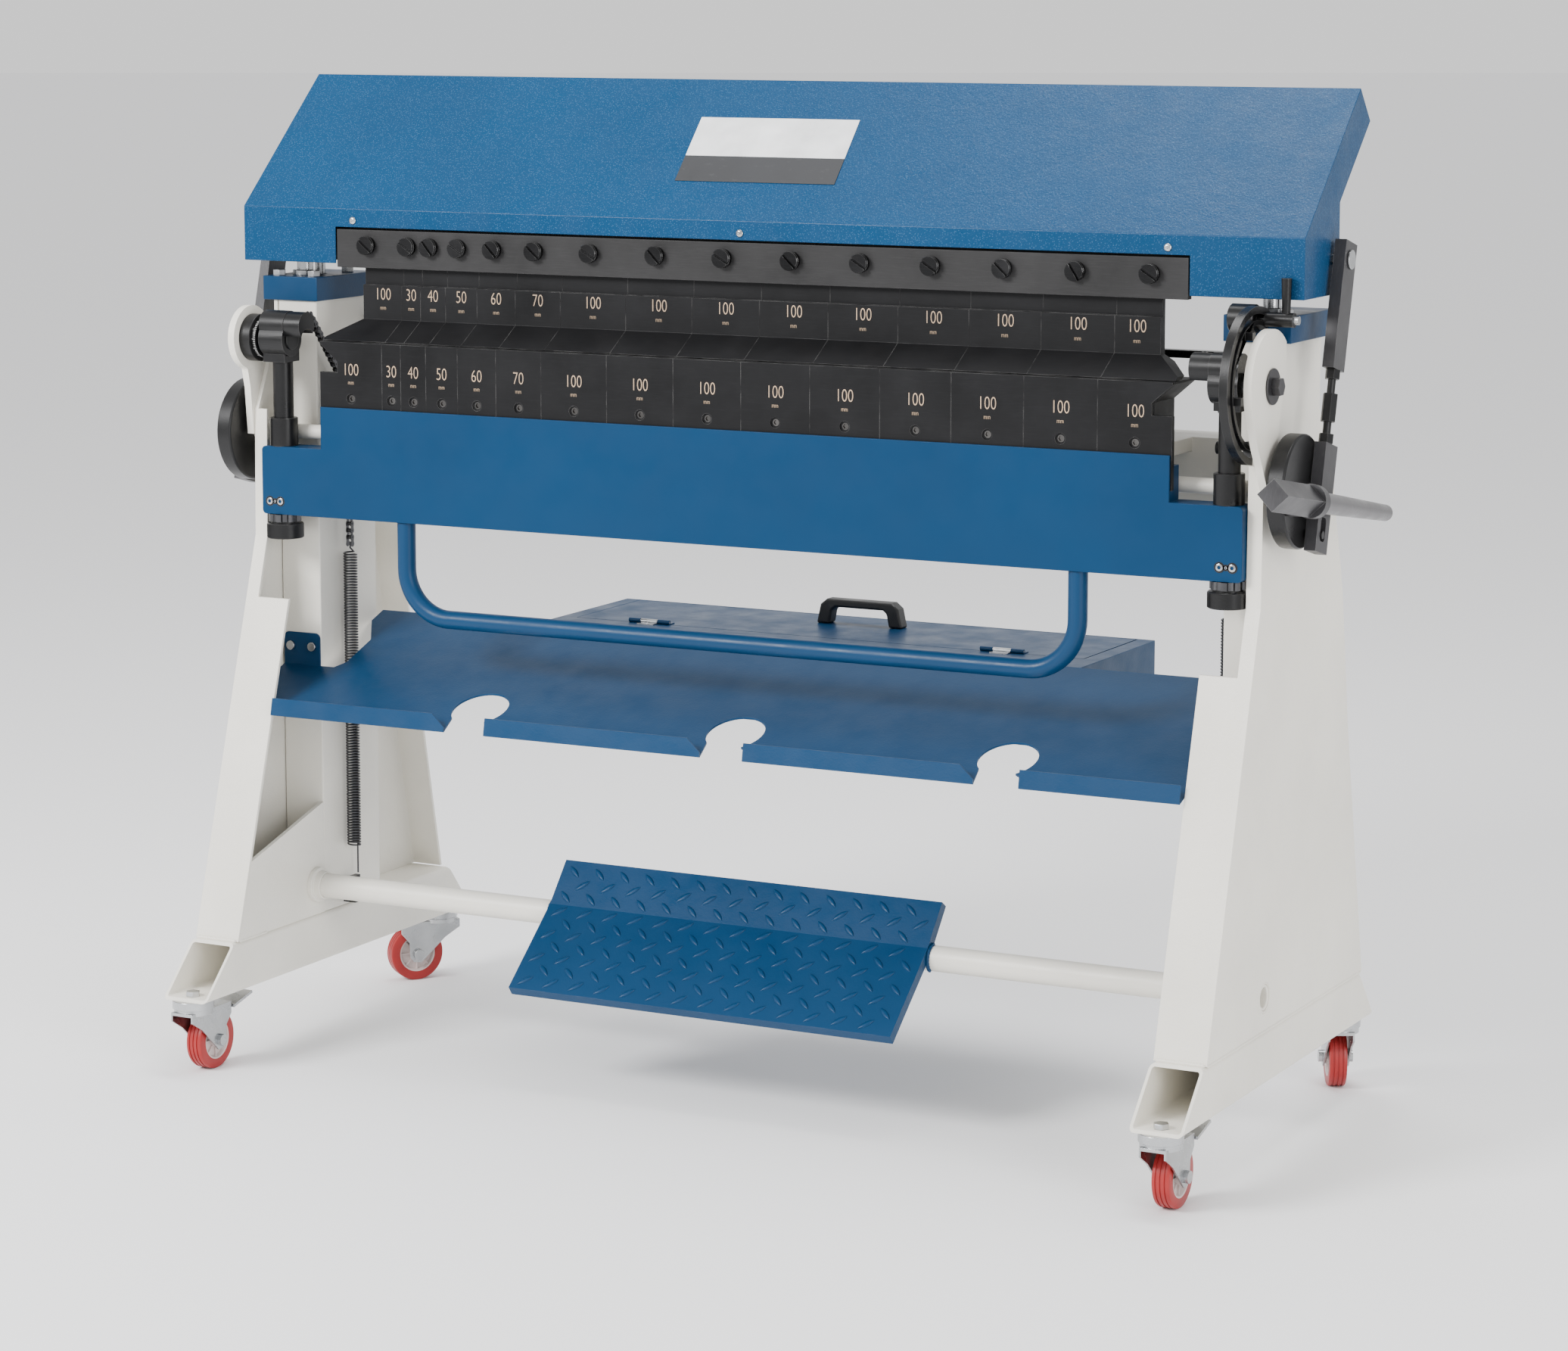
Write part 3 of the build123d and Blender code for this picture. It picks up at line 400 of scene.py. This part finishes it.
def tube_mesh(shape, points, radius, sides=10):
    """Round tube along a list of points, closed at both ends."""
    rings = []
    side = Vector((1, 0, 0))
    for i, point in enumerate(points):
        ahead = points[min(i + 1, len(points) - 1)] - points[max(i - 1, 0)]
        ahead.normalize()
        side = (side - ahead * side.dot(ahead)).normalized()
        up = ahead.cross(side)
        rings.append([shape.verts.new(point + radius * (side * math.cos(math.tau * k / sides)
                                                        + up * math.sin(math.tau * k / sides)))
                      for k in range(sides)])
    bridge(shape, rings)
    shape.faces.new(list(reversed(rings[0])))
    shape.faces.new(rings[-1])


def skins():
    """Every CAD node whose shape is right, with rounded edges and its own material."""
    plan = [
        (CREAM, 1.6, "base_tubes side_panels columns head_plates gusset_plates pedal_shaft"),
        (CREAM, 0.8, "bed_beam shaft_bushes crank_shaft"),
        (BLUE, 1.0, "column_caps tool_tray storage_box box_lid pedal_plate pull_handle"),
        (HOOD_BLUE, 1.6, "hood"),
        (LEAF_BLUE, 1.6, "leaf_beam"),
        (BLADE, 0.35, "bed_segments upper_segments leaf_segments"),
        (STRIP, 0.8, "clamp_strip"),
        (BLACK, 0.7, "rear_tie_bar pivot_bolts scale_drum angle_arc angle_stop chain_fittings"),
        (BLACK, 1.2, "crank_discs swing_arms spindles upper_beam"),
        (GREY, 1.4, "link_left link_right"),
        (LEVER, 1.2, "hand_lever"),
        (ZINC, 0.5, "guide_posts box_hinges link_pins lift_rods guide_bushes pedal_arms"),
        (ZINC, 0.6, "caster_mounts tray_screws"),
        (PLASTIC, 3.0, "lid_handle"),
    ]
    for name in nodes:
        if name.startswith(("caster_fork", "brake_pedal")):
            plan.append((ZINC, 0.7, name))
    made = {name: skin(name, look, width) for look, width, names in plan for name in names.split()}
    second_look(made["hand_lever"], GREY, lambda c: c.y < at(0, -12, 0).y or c.x < at(800, 0, 0).x)
    second_look(made["angle_stop"], ZINC, lambda c: c.x > at(768.5, 0, 0).x)
    second_look(made["pivot_bolts"], GREY, lambda c: abs(c.x - MIDDLE_X) > 744 * MM)
    for side in ("left", "right"):
        second_look(made[f"link_{side}"], BLACK, lambda c: 868 * MM < c.z < 1010 * MM)


def markings():
    """Segment widths on the upper blades and on the leaf, with a small unit mark below."""
    def write(name, body, rows):
        shape = bmesh.new()
        for text, x, y, z, height in rows:
            curve = bpy.data.curves.new("lettering", "FONT")
            curve.body = text
            curve.size = height * MM / 0.7
            curve.align_x, curve.align_y = "CENTER", "CENTER"
            curve.extrude = 0.00012
            curve.offset = -0.012 * curve.size
            curve.resolution_u = 4
            letters = bpy.data.objects.new("lettering", curve)
            mesh = bpy.data.meshes.new_from_object(letters)
            turn = Matrix.Rotation(math.radians(90), 4, "X") @ Matrix.Diagonal((0.74, 1, 1, 1))
            mesh.transform(Matrix.Translation(at(x, y, z)) @ turn)
            shape.from_mesh(mesh)
            bpy.data.objects.remove(letters)
            bpy.data.curves.remove(curve)
            bpy.data.meshes.remove(mesh)
        publish(name, finished(shape, name), MARKING, body)

    upper, lower = [], []
    for width, x in segment_centres():
        inward = 555 if abs(x) > 560 else abs(x)
        shifted = math.copysign(inward, x)
        upper += [(str(width), shifted, 52, 1046, 16.5), ("mm", shifted, 52, 1028, 6)]
        lower += [(str(width), x, 0, 946, 16.5), ("mm", x, 0, 929, 6)]
    write("upper_widths", "clamping_beam", upper)
    write("leaf_widths", "leaf", lower)


def leaf_screws():
    """Socket screws sunk in the leaf's segments."""
    steps, hexagon = 36, 3.4
    sixth = math.radians(60)
    # whether the ring is round or follows the hexagon socket, its radius or share, its depth
    levels = [("round", 6.4, 4.6), ("round", 6.4, 3.4), ("round", 5.6, 2.7), ("hexagon", 1.0, 2.7),
              ("hexagon", 0.95, 5.8)]
    angles = [math.tau * i / steps for i in range(steps)]
    flats = [hexagon * math.cos(sixth / 2) / math.cos((angle % sixth) - sixth / 2) for angle in angles]
    shape = bmesh.new()
    for _, x in segment_centres():
        rings = []
        for kind, size, along in levels:
            ring = []
            for angle, flat in zip(angles, flats):
                r = size if kind == "round" else size * flat
                ring.append(shape.verts.new(at(x, along, HOLE_Z) + Vector((r * math.cos(angle), 0,
                                                                          r * math.sin(angle))) * MM))
            rings.append(ring)
        bridge(shape, rings)
        shape.faces.new(rings[-1])
        shape.faces.new(rings[0])
    publish("leaf_socket_screws", finished(shape, "leaf_socket_screws"), SCREW_STEEL, "leaf",
            "blackened_steel")


def slotted_screws():
    """The fifteen slotted clamp screws that hold the upper blades."""
    radius, slot, depth = 12.6, 3.2, 3.5
    shape = bmesh.new()
    for _, x in segment_centres():
        turn = Matrix.Rotation(random.uniform(0.5, 1.1), 4, "Y")
        place = Matrix.Translation(at(x, 36.2, 1113)) @ turn
        vertices = solid_lathe(shape, [(0, 9.8), (radius, 9.8), (radius, depth), (0, depth)], 40)
        start = math.asin(slot / 2 / radius)
        for side in (0, math.pi):
            arc = [start + side + (math.pi - 2 * start) * i / 18 for i in range(19)]
            rim = [(radius * math.cos(a), radius * math.sin(a)) for a in arc]
            vertices += prism(shape, rim, depth)
        moved(shape, vertices, place)
    mesh = finished(shape, "clamp_screws")
    piece = publish("clamp_screws", mesh, GLOSS_BLACK, "clamping_beam", "blackened_steel", ["clamp_knobs"])
    bevel = piece.modifiers.new("rounded", "BEVEL")
    bevel.width = 0.0005
    bevel.limit_method = "ANGLE"


def hood_screws():
    """Three domed cross-head screws above the clamp strip."""
    shape = bmesh.new()
    for x in (-598, 0, 598):
        dome = [(0, 3.0), (5, 3.0), (5, 1.6), (4.3, 0.7), (2.6, 0.15), (1.6, 0.1), (0.9, 0.9), (0, 1.0)]
        moved(shape, solid_lathe(shape, dome, 32), Matrix.Translation(at(x, 42, 1146)))
    publish("hood_screws_round", finished(shape, "hood_screws_round"), ZINC, "clamping_beam",
            "zinc_steel", ["hood_screws"])


def knurled_knobs():
    """Diamond-knurled adjusting knobs under the leaf.

    In the profile, a radius of None is the notched ring and a radius of 0 is the knurl.
    """
    around, rows = 96, 12
    for name, side in SIDES:
        shape = bmesh.new()
        profile = [(14.2, 742), (None, 741.6), (None, 731.5), (19.5, 731.2), (19.5, 729.2),
                   (23.8, 729.2), (25, 728.0)]
        knurl = [(0, 727.4 - 18.0 * i / rows) for i in range(rows + 1)]
        foot = [(25, 708.8), (23.6, 708), (9.2, 708), (9.2, 728), (14.2, 729.5)]
        rings = []
        for i in range(around):
            angle = math.tau * i / around
            ring = []
            for j, (r, z) in enumerate(profile + knurl + foot):
                if r is None:
                    r = 22.6 if i % 12 < 6 else 19.5
                elif r == 0:
                    r = 25.5 if (i + j) % 2 else 24.6
                ring.append(shape.verts.new(at(side * SPINDLE[0] + r * math.cos(angle),
                                               SPINDLE[1] + r * math.sin(angle), z)))
            rings.append(ring)
        count = len(rings[0])
        for i, ring in enumerate(rings):
            following = rings[(i + 1) % around]
            for j in range(count):
                k = (j + 1) % count
                shape.faces.new((ring[j], ring[k], following[k], following[j]))
        node = f"knurled_knob_{name}"
        knob = publish(node + "_cut", finished(shape, node + "_cut"), BLACK, body_of_node[node],
                       slot_of_node[node], [node], 25)
        second_look(knob, SPRING, lambda c: 731.4 * MM < c.z < 741.7 * MM)


def leaf_ends():
    """Sleeves round the spindles and, at each end, two bright socket screws round a small one."""
    sleeves = bmesh.new()
    screws = bmesh.new()
    for side in (-1, 1):
        ring = [(14.4, 836), (19, 836), (19.5, 836.6), (19.5, 874), (18.6, 875), (14.4, 875)]
        vertices = lathe(sleeves, ring, 64)
        moved(sleeves, vertices, Matrix.Translation(at(side * SPINDLE[0], SPINDLE[1], 0))
              @ Matrix.Rotation(math.radians(90), 4, "X"))
        for x, radius in ((690.5, 4.6), (699, 1.8), (707.5, 4.6)):
            place = Matrix.Translation(at(side * x, -4, 760))
            cup = [(0, 1.0), (radius, 1.0), (radius, -0.9), (radius * 0.86, -1.2), (radius * 0.5, -1.2),
                   (radius * 0.5, 0.2), (0, 0.2)]
            moved(screws, solid_lathe(screws, cup, 32), place)
            collar = [(radius + 0.1, 0.5), (radius + 2.2, 0.5), (radius + 2.2, -0.35), (radius + 0.1, -0.35)]
            moved(sleeves, lathe(sleeves, collar, 40), place)
    publish("leaf_end_sleeves", finished(sleeves, "leaf_end_sleeves"), BLACK, "leaf",
            "blackened_steel", ["leaf_end_fittings"])
    publish("leaf_end_screws", finished(screws, "leaf_end_screws"), ZINC, "leaf", "zinc_steel")


def springs():
    """Close-wound tension springs with a hook at each end."""
    wire, mean = 1.25, 8.9
    anchor, hook = 218, 236
    low, high = SPRING_ENDS
    turns = int((high - low) / 3.9)
    steps = 16
    for name, side in SIDES:
        centre = Vector((side * CHAIN_X, SPRING_Y, 0))
        path = [centre + Vector((0, mean, anchor)), centre + Vector((0, mean, hook)),
                centre + Vector((0, mean, low - 4))]
        for i in range(turns * steps + 1):
            angle = math.tau * i / steps
            path.append(centre + Vector((mean * math.sin(angle), mean * math.cos(angle),
                                         low + 1.3 + (high - low - 2.6) * i / (turns * steps))))
        path += [centre + Vector((0, mean * 0.5, high + 2)), centre + Vector((0, 0, high + 5)),
                 centre + Vector((0, 0, high + 14))]
        shape = bmesh.new()
        tube_mesh(shape, [at(*point) for point in path], wire * MM, 8)
        mesh = finished(shape, f"spring_coils_{name}")
        publish(f"spring_coils_{name}", mesh, SPRING, "stand", "zinc_steel", ["springs"], 80)


def chain_route():
    """Points every few millimetres down the chain, from its hub to the spring."""
    lean = math.atan2(PULLEY[0] - CHAIN_HUB[0], CHAIN_HUB[1] - PULLEY[1])
    reach = 23
    start = Vector((CHAIN_HUB[0] + reach * math.cos(lean), CHAIN_HUB[1] + reach * math.sin(lean)))
    onto = Vector((PULLEY[0] + CHAIN_TURN * math.cos(lean), PULLEY[1] + CHAIN_TURN * math.sin(lean)))
    points = [start.lerp(onto, i / 40) for i in range(40)]
    points += [Vector((PULLEY[0] + (CHAIN_TURN - 1) * math.cos(lean * (1 - i / 8)),
                       PULLEY[1] + (CHAIN_TURN - 1) * math.sin(lean * (1 - i / 8)))) for i in range(9)]
    bottom = Vector((PULLEY[0] + CHAIN_TURN, SPRING_ENDS[1] + 2))
    points += [points[-1].lerp(bottom, i / 30) for i in range(1, 31)]
    return points


def chains():
    """Roller chain: alternate inner and outer links with pins and rollers."""
    pitch, head, waist, thick = 9.5, 3.9, 2.7, 0.8
    route = chain_route()
    joints_along, travelled = [route[0]], 0.0
    for before, after in zip(route, route[1:]):
        step = (after - before).length
        while travelled + step >= pitch:
            share = (pitch - travelled) / step
            before = before.lerp(after, share)
            joints_along.append(before)
            step = (after - before).length
            travelled = 0.0
        travelled += step
    for name, side in SIDES:
        shape = bmesh.new()
        for i, (a, b) in enumerate(zip(joints_along, joints_along[1:])):
            along = b - a
            tilt = math.atan2(along.y, along.x)
            length = along.length
            outline = [(head * math.cos(t), head * math.sin(t)) for t in
                       [math.pi / 2 + math.pi * k / 8 for k in range(9)]]
            outline += [(length / 2, -waist)]
            outline += [(length + head * math.cos(t), head * math.sin(t)) for t in
                        [-math.pi / 2 + math.pi * k / 8 for k in range(9)]]
            outline += [(length / 2, waist)]
            offset = 3.5 if i % 2 else 2.4
            lay = Matrix.Translation(at(side * CHAIN_X, a.x, a.y)) @ Matrix.Rotation(
                tilt, 4, "X") @ Matrix.Rotation(math.radians(90), 4, "Z")
            for x in (offset, -offset - thick):
                vertices = prism(shape, outline, thick)
                moved(shape, vertices, lay @ Matrix.Translation((0, x * MM, 0)))
            vertices = solid_lathe(shape, [(0, -4.9), (1.3, -4.9), (1.3, -2.3), (2.7, -2.3), (2.7, 2.3),
                                           (1.3, 2.3), (1.3, 4.9), (0, 4.9)], 14)
            moved(shape, vertices, lay)
        mesh = finished(shape, f"chain_links_{name}")
        publish(f"chain_links_{name}", mesh, SPRING, "stand", "zinc_steel", ["chains"])


def tread_lugs():
    """Raised lens-shaped lugs, alternating in direction, on both faces of the treadle."""
    pitch, length, width, height = 19.5, 12.8, 3.8, 2.1
    shape = bmesh.new()
    for end, rows in ((TREAD_FRONT, 7), (TREAD_BACK, 3)):
        run = Vector((end[0] - TREAD_FOLD[0], end[1] - TREAD_FOLD[1]))
        span = run.length
        run.normalize()
        rise = Vector((0, -run.y, run.x)) if run.x > 0 else Vector((0, run.y, -run.x))
        along = Vector((0, run.x, run.y))
        across = Vector((1, 0, 0))
        base = Matrix((across, along, rise)).transposed().to_4x4()
        for row in range(rows):
            for column in range(-7, 8):
                x = column * 39 + (0 if row % 2 else 19.5) - 9.75
                distance = 12 + row * pitch
                if distance > span - 8 or abs(x) > TREAD_HALF - 10:
                    continue
                y, z = TREAD_FOLD[0] + run.x * distance, TREAD_FOLD[1] + run.y * distance
                turn = 1 if row % 2 else -1
                place = (Matrix.Translation(at(x, y, z)) @ base
                         @ Matrix.Rotation(turn * math.radians(42), 4, "Z"))
                vertices = lens(shape, length, width, height)
                moved(shape, vertices, place)
    publish("tread_lugs", finished(shape, "tread_lugs"), BLUE, "pedal", "blue_paint", (), 60)


def lens(shape, length, width, height):
    """One lug lying along local X, bulging to local +Z."""
    rows = []
    for i in range(9):
        u = -1 + 2 * i / 8
        half = width * (1 - u * u) + 0.05
        row = []
        for j in range(7):
            angle = math.pi * j / 6
            lift = height * (1 - u ** 4) * math.sin(angle) ** 0.8 if 0 < j < 6 else -0.2
            row.append(shape.verts.new((u * length * MM, half * math.cos(angle) * MM, lift * MM)))
        rows.append(row)
    for row, following in zip(rows, rows[1:]):
        for j in range(6):
            shape.faces.new((row[j], following[j], following[j + 1], row[j + 1]))
        shape.faces.new((row[6], following[6], following[0], row[0]))
    shape.faces.new(rows[0])
    shape.faces.new(list(reversed(rows[-1])))
    return [vertex for row in rows for vertex in row]


def weld_bead(shape, corners, radius):
    """Rippled bead along a line through layout points, thinner at both ends."""
    step, sides = 0.9, 10
    corners = [at(*corner) for corner in corners]
    path = []
    for start, end in zip(corners, corners[1:]):
        count = max(1, round((end - start).length / (step * MM)))
        path += [start.lerp(end, i / count) for i in range(count)]
    path.append(corners[-1])
    rings = []
    for i, middle in enumerate(path):
        along = (path[min(i + 1, len(path) - 1)] - path[max(i - 1, 0)]).normalized()
        side = along.cross(Vector((0.31, 0.53, 0.79))).normalized()
        up = along.cross(side)
        taper = min(1, 0.4 + min(i, len(path) - 1 - i) / 4)
        swell = radius * MM * taper * (0.86 + 0.16 * abs(math.sin(i * 0.62)) + random.uniform(-0.05, 0.05))
        rings.append([shape.verts.new(middle + swell * (side * math.cos(math.tau * k / sides)
                                                        + up * math.sin(math.tau * k / sides)))
                      for k in range(sides)])
    bridge(shape, rings)
    shape.faces.new(list(reversed(rings[0])))
    shape.faces.new(rings[-1])


def welds():
    """Beads where the side frames stand on the base tubes and round the treadle's ends."""
    frame_beads = bmesh.new()
    treadle_beads = bmesh.new()
    shaft_y, shaft_z = PEDAL_SHAFT
    ring = 18
    angles = [math.radians(80 + 6 * i) for i in range(28)]
    for side in (-1, 1):
        weld_bead(frame_beads, [(side * 674, -151.5, 174), (side * 739, -151.5, 174)], 2.6)
        weld_bead(frame_beads, [(side * 740.2, -148, 173), (side * 740.2, 396, 173)], 2.2)
        weld_bead(frame_beads, [(side * 672, -146, 173.5), (side * 672, -80, 173.5)], 2.2)
        weld_bead(treadle_beads, [(side * (TREAD_HALF + 1), shaft_y + ring * math.cos(angle),
                                   shaft_z + ring * math.sin(angle)) for angle in angles], 2.6)
    publish("frame_welds", finished(frame_beads, "frame_welds"), CREAM, "stand", "cream_paint", (), 60)
    publish("treadle_welds", finished(treadle_beads, "treadle_welds"), BLUE, "pedal", "blue_paint", (), 60)


def wheels():
    """Red tyre with three grooves on a ribbed nylon centre, for each caster."""
    tyre = [(27, -11.5), (37.5, -12), (39.2, -11.2), (40, -9.6)]
    for groove in (-6, 0, 6):
        tyre += [(40, groove - 1.1), (38.9, groove - 0.7), (38.9, groove + 0.7), (40, groove + 1.1)]
    tyre += [(40, 9.6), (39.2, 11.2), (37.5, 12), (27, 11.5)]
    centre = [(5.05, -14), (9.6, -14), (10.6, -13.2), (11, -7), (23, -6.5), (25, -11), (27, -11.6),
              (27, 11.6), (25, 11), (23, 6.5), (11, 7), (10.6, 13.2), (9.6, 14), (5.05, 14)]
    for name, joint in joints.items():
        if not name.endswith("_wheel_spin"):
            continue
        axis = Vector(joint["axis"]).normalized()
        place = Matrix.Translation(Vector(joint["pos_m"])) @ Vector((0, 1, 0)).rotation_difference(
            axis).to_matrix().to_4x4()
        where = name.replace("_wheel_spin", "")
        node = "caster_wheel_" + where
        shape = bmesh.new()
        moved(shape, lathe(shape, tyre, 96), place)
        publish(f"tyre_{where}", finished(shape, f"tyre_{where}"), TREAD, body_of_node[node],
                "red_tread", [node], 28)
        shape = bmesh.new()
        vertices = lathe(shape, centre, 64)
        for rib in range(8):
            turn = Matrix.Rotation(math.tau * rib / 8, 4, "Y")
            for side in (1, -1):
                bar = prism(shape, [(10, -0.9), (24, -0.9), (24, 0.9), (10, 0.9)], 3.2)
                moved(shape, bar, turn @ Matrix.Translation((0, (6 if side > 0 else -9.2) * MM, 0)))
                vertices += bar
        moved(shape, vertices, place)
        publish(f"wheel_centre_{where}", finished(shape, f"wheel_centre_{where}"), NYLON,
                body_of_node[node], "red_tread", (), 28)


def scale_marks():
    """Tick marks round the scale drum on the left."""
    shape = bmesh.new()
    for i in range(60):
        angle = math.tau * i / 60
        long = 5.0 if i % 5 == 0 else 3.2
        tick = [(-718.3 - long, -0.28), (-718.3, -0.28), (-718.3, 0.28), (-718.3 - long, 0.28)]
        vertices = [shape.verts.new(Vector((x, t, 27.06)) * MM) for x, t in tick]
        vertices += [shape.verts.new(Vector((x, t, 26.8)) * MM) for x, t in tick]
        shape.faces.new(vertices[:4])
        shape.faces.new(list(reversed(vertices[4:])))
        for k in range(4):
            n = (k + 1) % 4
            shape.faces.new((vertices[k], vertices[k + 4], vertices[n + 4], vertices[n]))
        moved(shape, vertices, Matrix.Translation(at(0, *FOLD)) @ Matrix.Rotation(angle, 4, "X"))
    publish("scale_ticks", finished(shape, "scale_ticks"), WHITE_MARK, "stand", "blackened_steel")


def label_plate():
    """Blank parallelogram plate on the hood's slope, pale above and dark below."""
    low, high = Vector((45, 1162)), Vector((235, 1339))
    slope = (high - low).normalized()
    outward = Vector((0, -slope.y, slope.x))
    base = Matrix((Vector((1, 0, 0)), Vector((0, slope.x, slope.y)), outward)).transposed().to_4x4()
    place = Matrix.Translation(at(0, low.x, low.y)) @ base

    def band(name, look, from_share, to_share):
        bottom, top, lean, half, middle = 69.0, 187.0, -0.05, 118.0, -6.0
        y0 = bottom + (top - bottom) * from_share
        y1 = bottom + (top - bottom) * to_share
        shape = bmesh.new()
        left0, left1 = (middle - half + lean * (y - bottom) for y in (y0, y1))
        corners = [(left0, y0), (left0 + 2 * half, y0), (left1 + 2 * half, y1), (left1, y1)]
        near = [shape.verts.new((x * MM, y * MM, 0.05 * MM)) for x, y in corners]
        far = [shape.verts.new((x * MM, y * MM, 1.0 * MM)) for x, y in corners]
        shape.faces.new(near)
        shape.faces.new(list(reversed(far)))
        for i in range(4):
            j = (i + 1) % 4
            shape.faces.new((near[i], far[i], far[j], near[j]))
        moved(shape, shape.verts[:], place)
        piece = publish(name, finished(shape, name), look, "clamping_beam")
        bevel = piece.modifiers.new("rounded", "BEVEL")
        bevel.width = 0.0004
        bevel.segments = 2

    band("label_upper", PLATE_WHITE, 0.395, 1.0)
    band("label_lower", PLATE_DARK, 0.0, 0.39)


# ---- stage --------------------------------------------------------------------------------
def plain(name, colour, roughness):
    material = bpy.data.materials.new(name)
    material.use_nodes = True
    shader = material.node_tree.nodes["Principled BSDF"]
    shader.inputs["Base Color"].default_value = (*colour, 1)
    shader.inputs["Roughness"].default_value = roughness
    return material


def floor():
    shape = bmesh.new()
    bmesh.ops.create_grid(shape, x_segments=1, y_segments=1, size=90)
    mesh = finished(shape, "floor")
    mesh.materials.append(plain("floor_pale", (0.93, 0.93, 0.94), 0.95))
    ground = bpy.data.objects.new("floor", mesh)
    bpy.context.scene.collection.objects.link(ground)


def light(name, place, target, size, power, colour=(1, 1, 1)):
    data = bpy.data.lights.new(name, "AREA")
    data.shape = "RECTANGLE"
    data.size, data.size_y = size
    data.energy = power
    data.color = colour
    lamp = bpy.data.objects.new(name, data)
    lamp.location = place
    lamp.rotation_mode = "QUATERNION"
    lamp.rotation_quaternion = (Vector(target) - Vector(place)).to_track_quat("-Z", "Y")
    bpy.context.scene.collection.objects.link(lamp)


def studio():
    world = bpy.data.worlds.new("studio")
    world.use_nodes = True
    world.node_tree.nodes["Background"].inputs["Color"].default_value = (1.0, 1.0, 1.0, 1)
    world.node_tree.nodes["Background"].inputs["Strength"].default_value = 1.05
    bpy.context.scene.world = world
    light("key", (-2.2, -3.8, 3.2), (0, 0, 0.7), (1.8, 1.4), 280)
    light("fill", (4.2, -2.2, 1.7), (0, 0, 0.7), (1.6, 2.2), 80)
    light("top", (0.2, 0.4, 4.4), (0, 0, 0.8), (3.0, 1.6), 110)


def camera():
    """Long lens from the right of the working side, turned slightly down."""
    data = bpy.data.cameras.new("camera")
    data.lens = 95.63
    data.shift_y = -0.1
    data.clip_end = 60
    viewer = bpy.data.objects.new("camera", data)
    viewer.location = at(2544.2, -4728.5, 1486.3)
    viewer.rotation_euler = (math.radians(90 - 7.518), 0, math.radians(27.449))
    bpy.context.scene.collection.objects.link(viewer)
    bpy.context.scene.camera = viewer


skins()
markings()
leaf_screws()
slotted_screws()
hood_screws()
knurled_knobs()
leaf_ends()
springs()
chains()
tread_lugs()
welds()
wheels()
scale_marks()
label_plate()
floor()
studio()
camera()
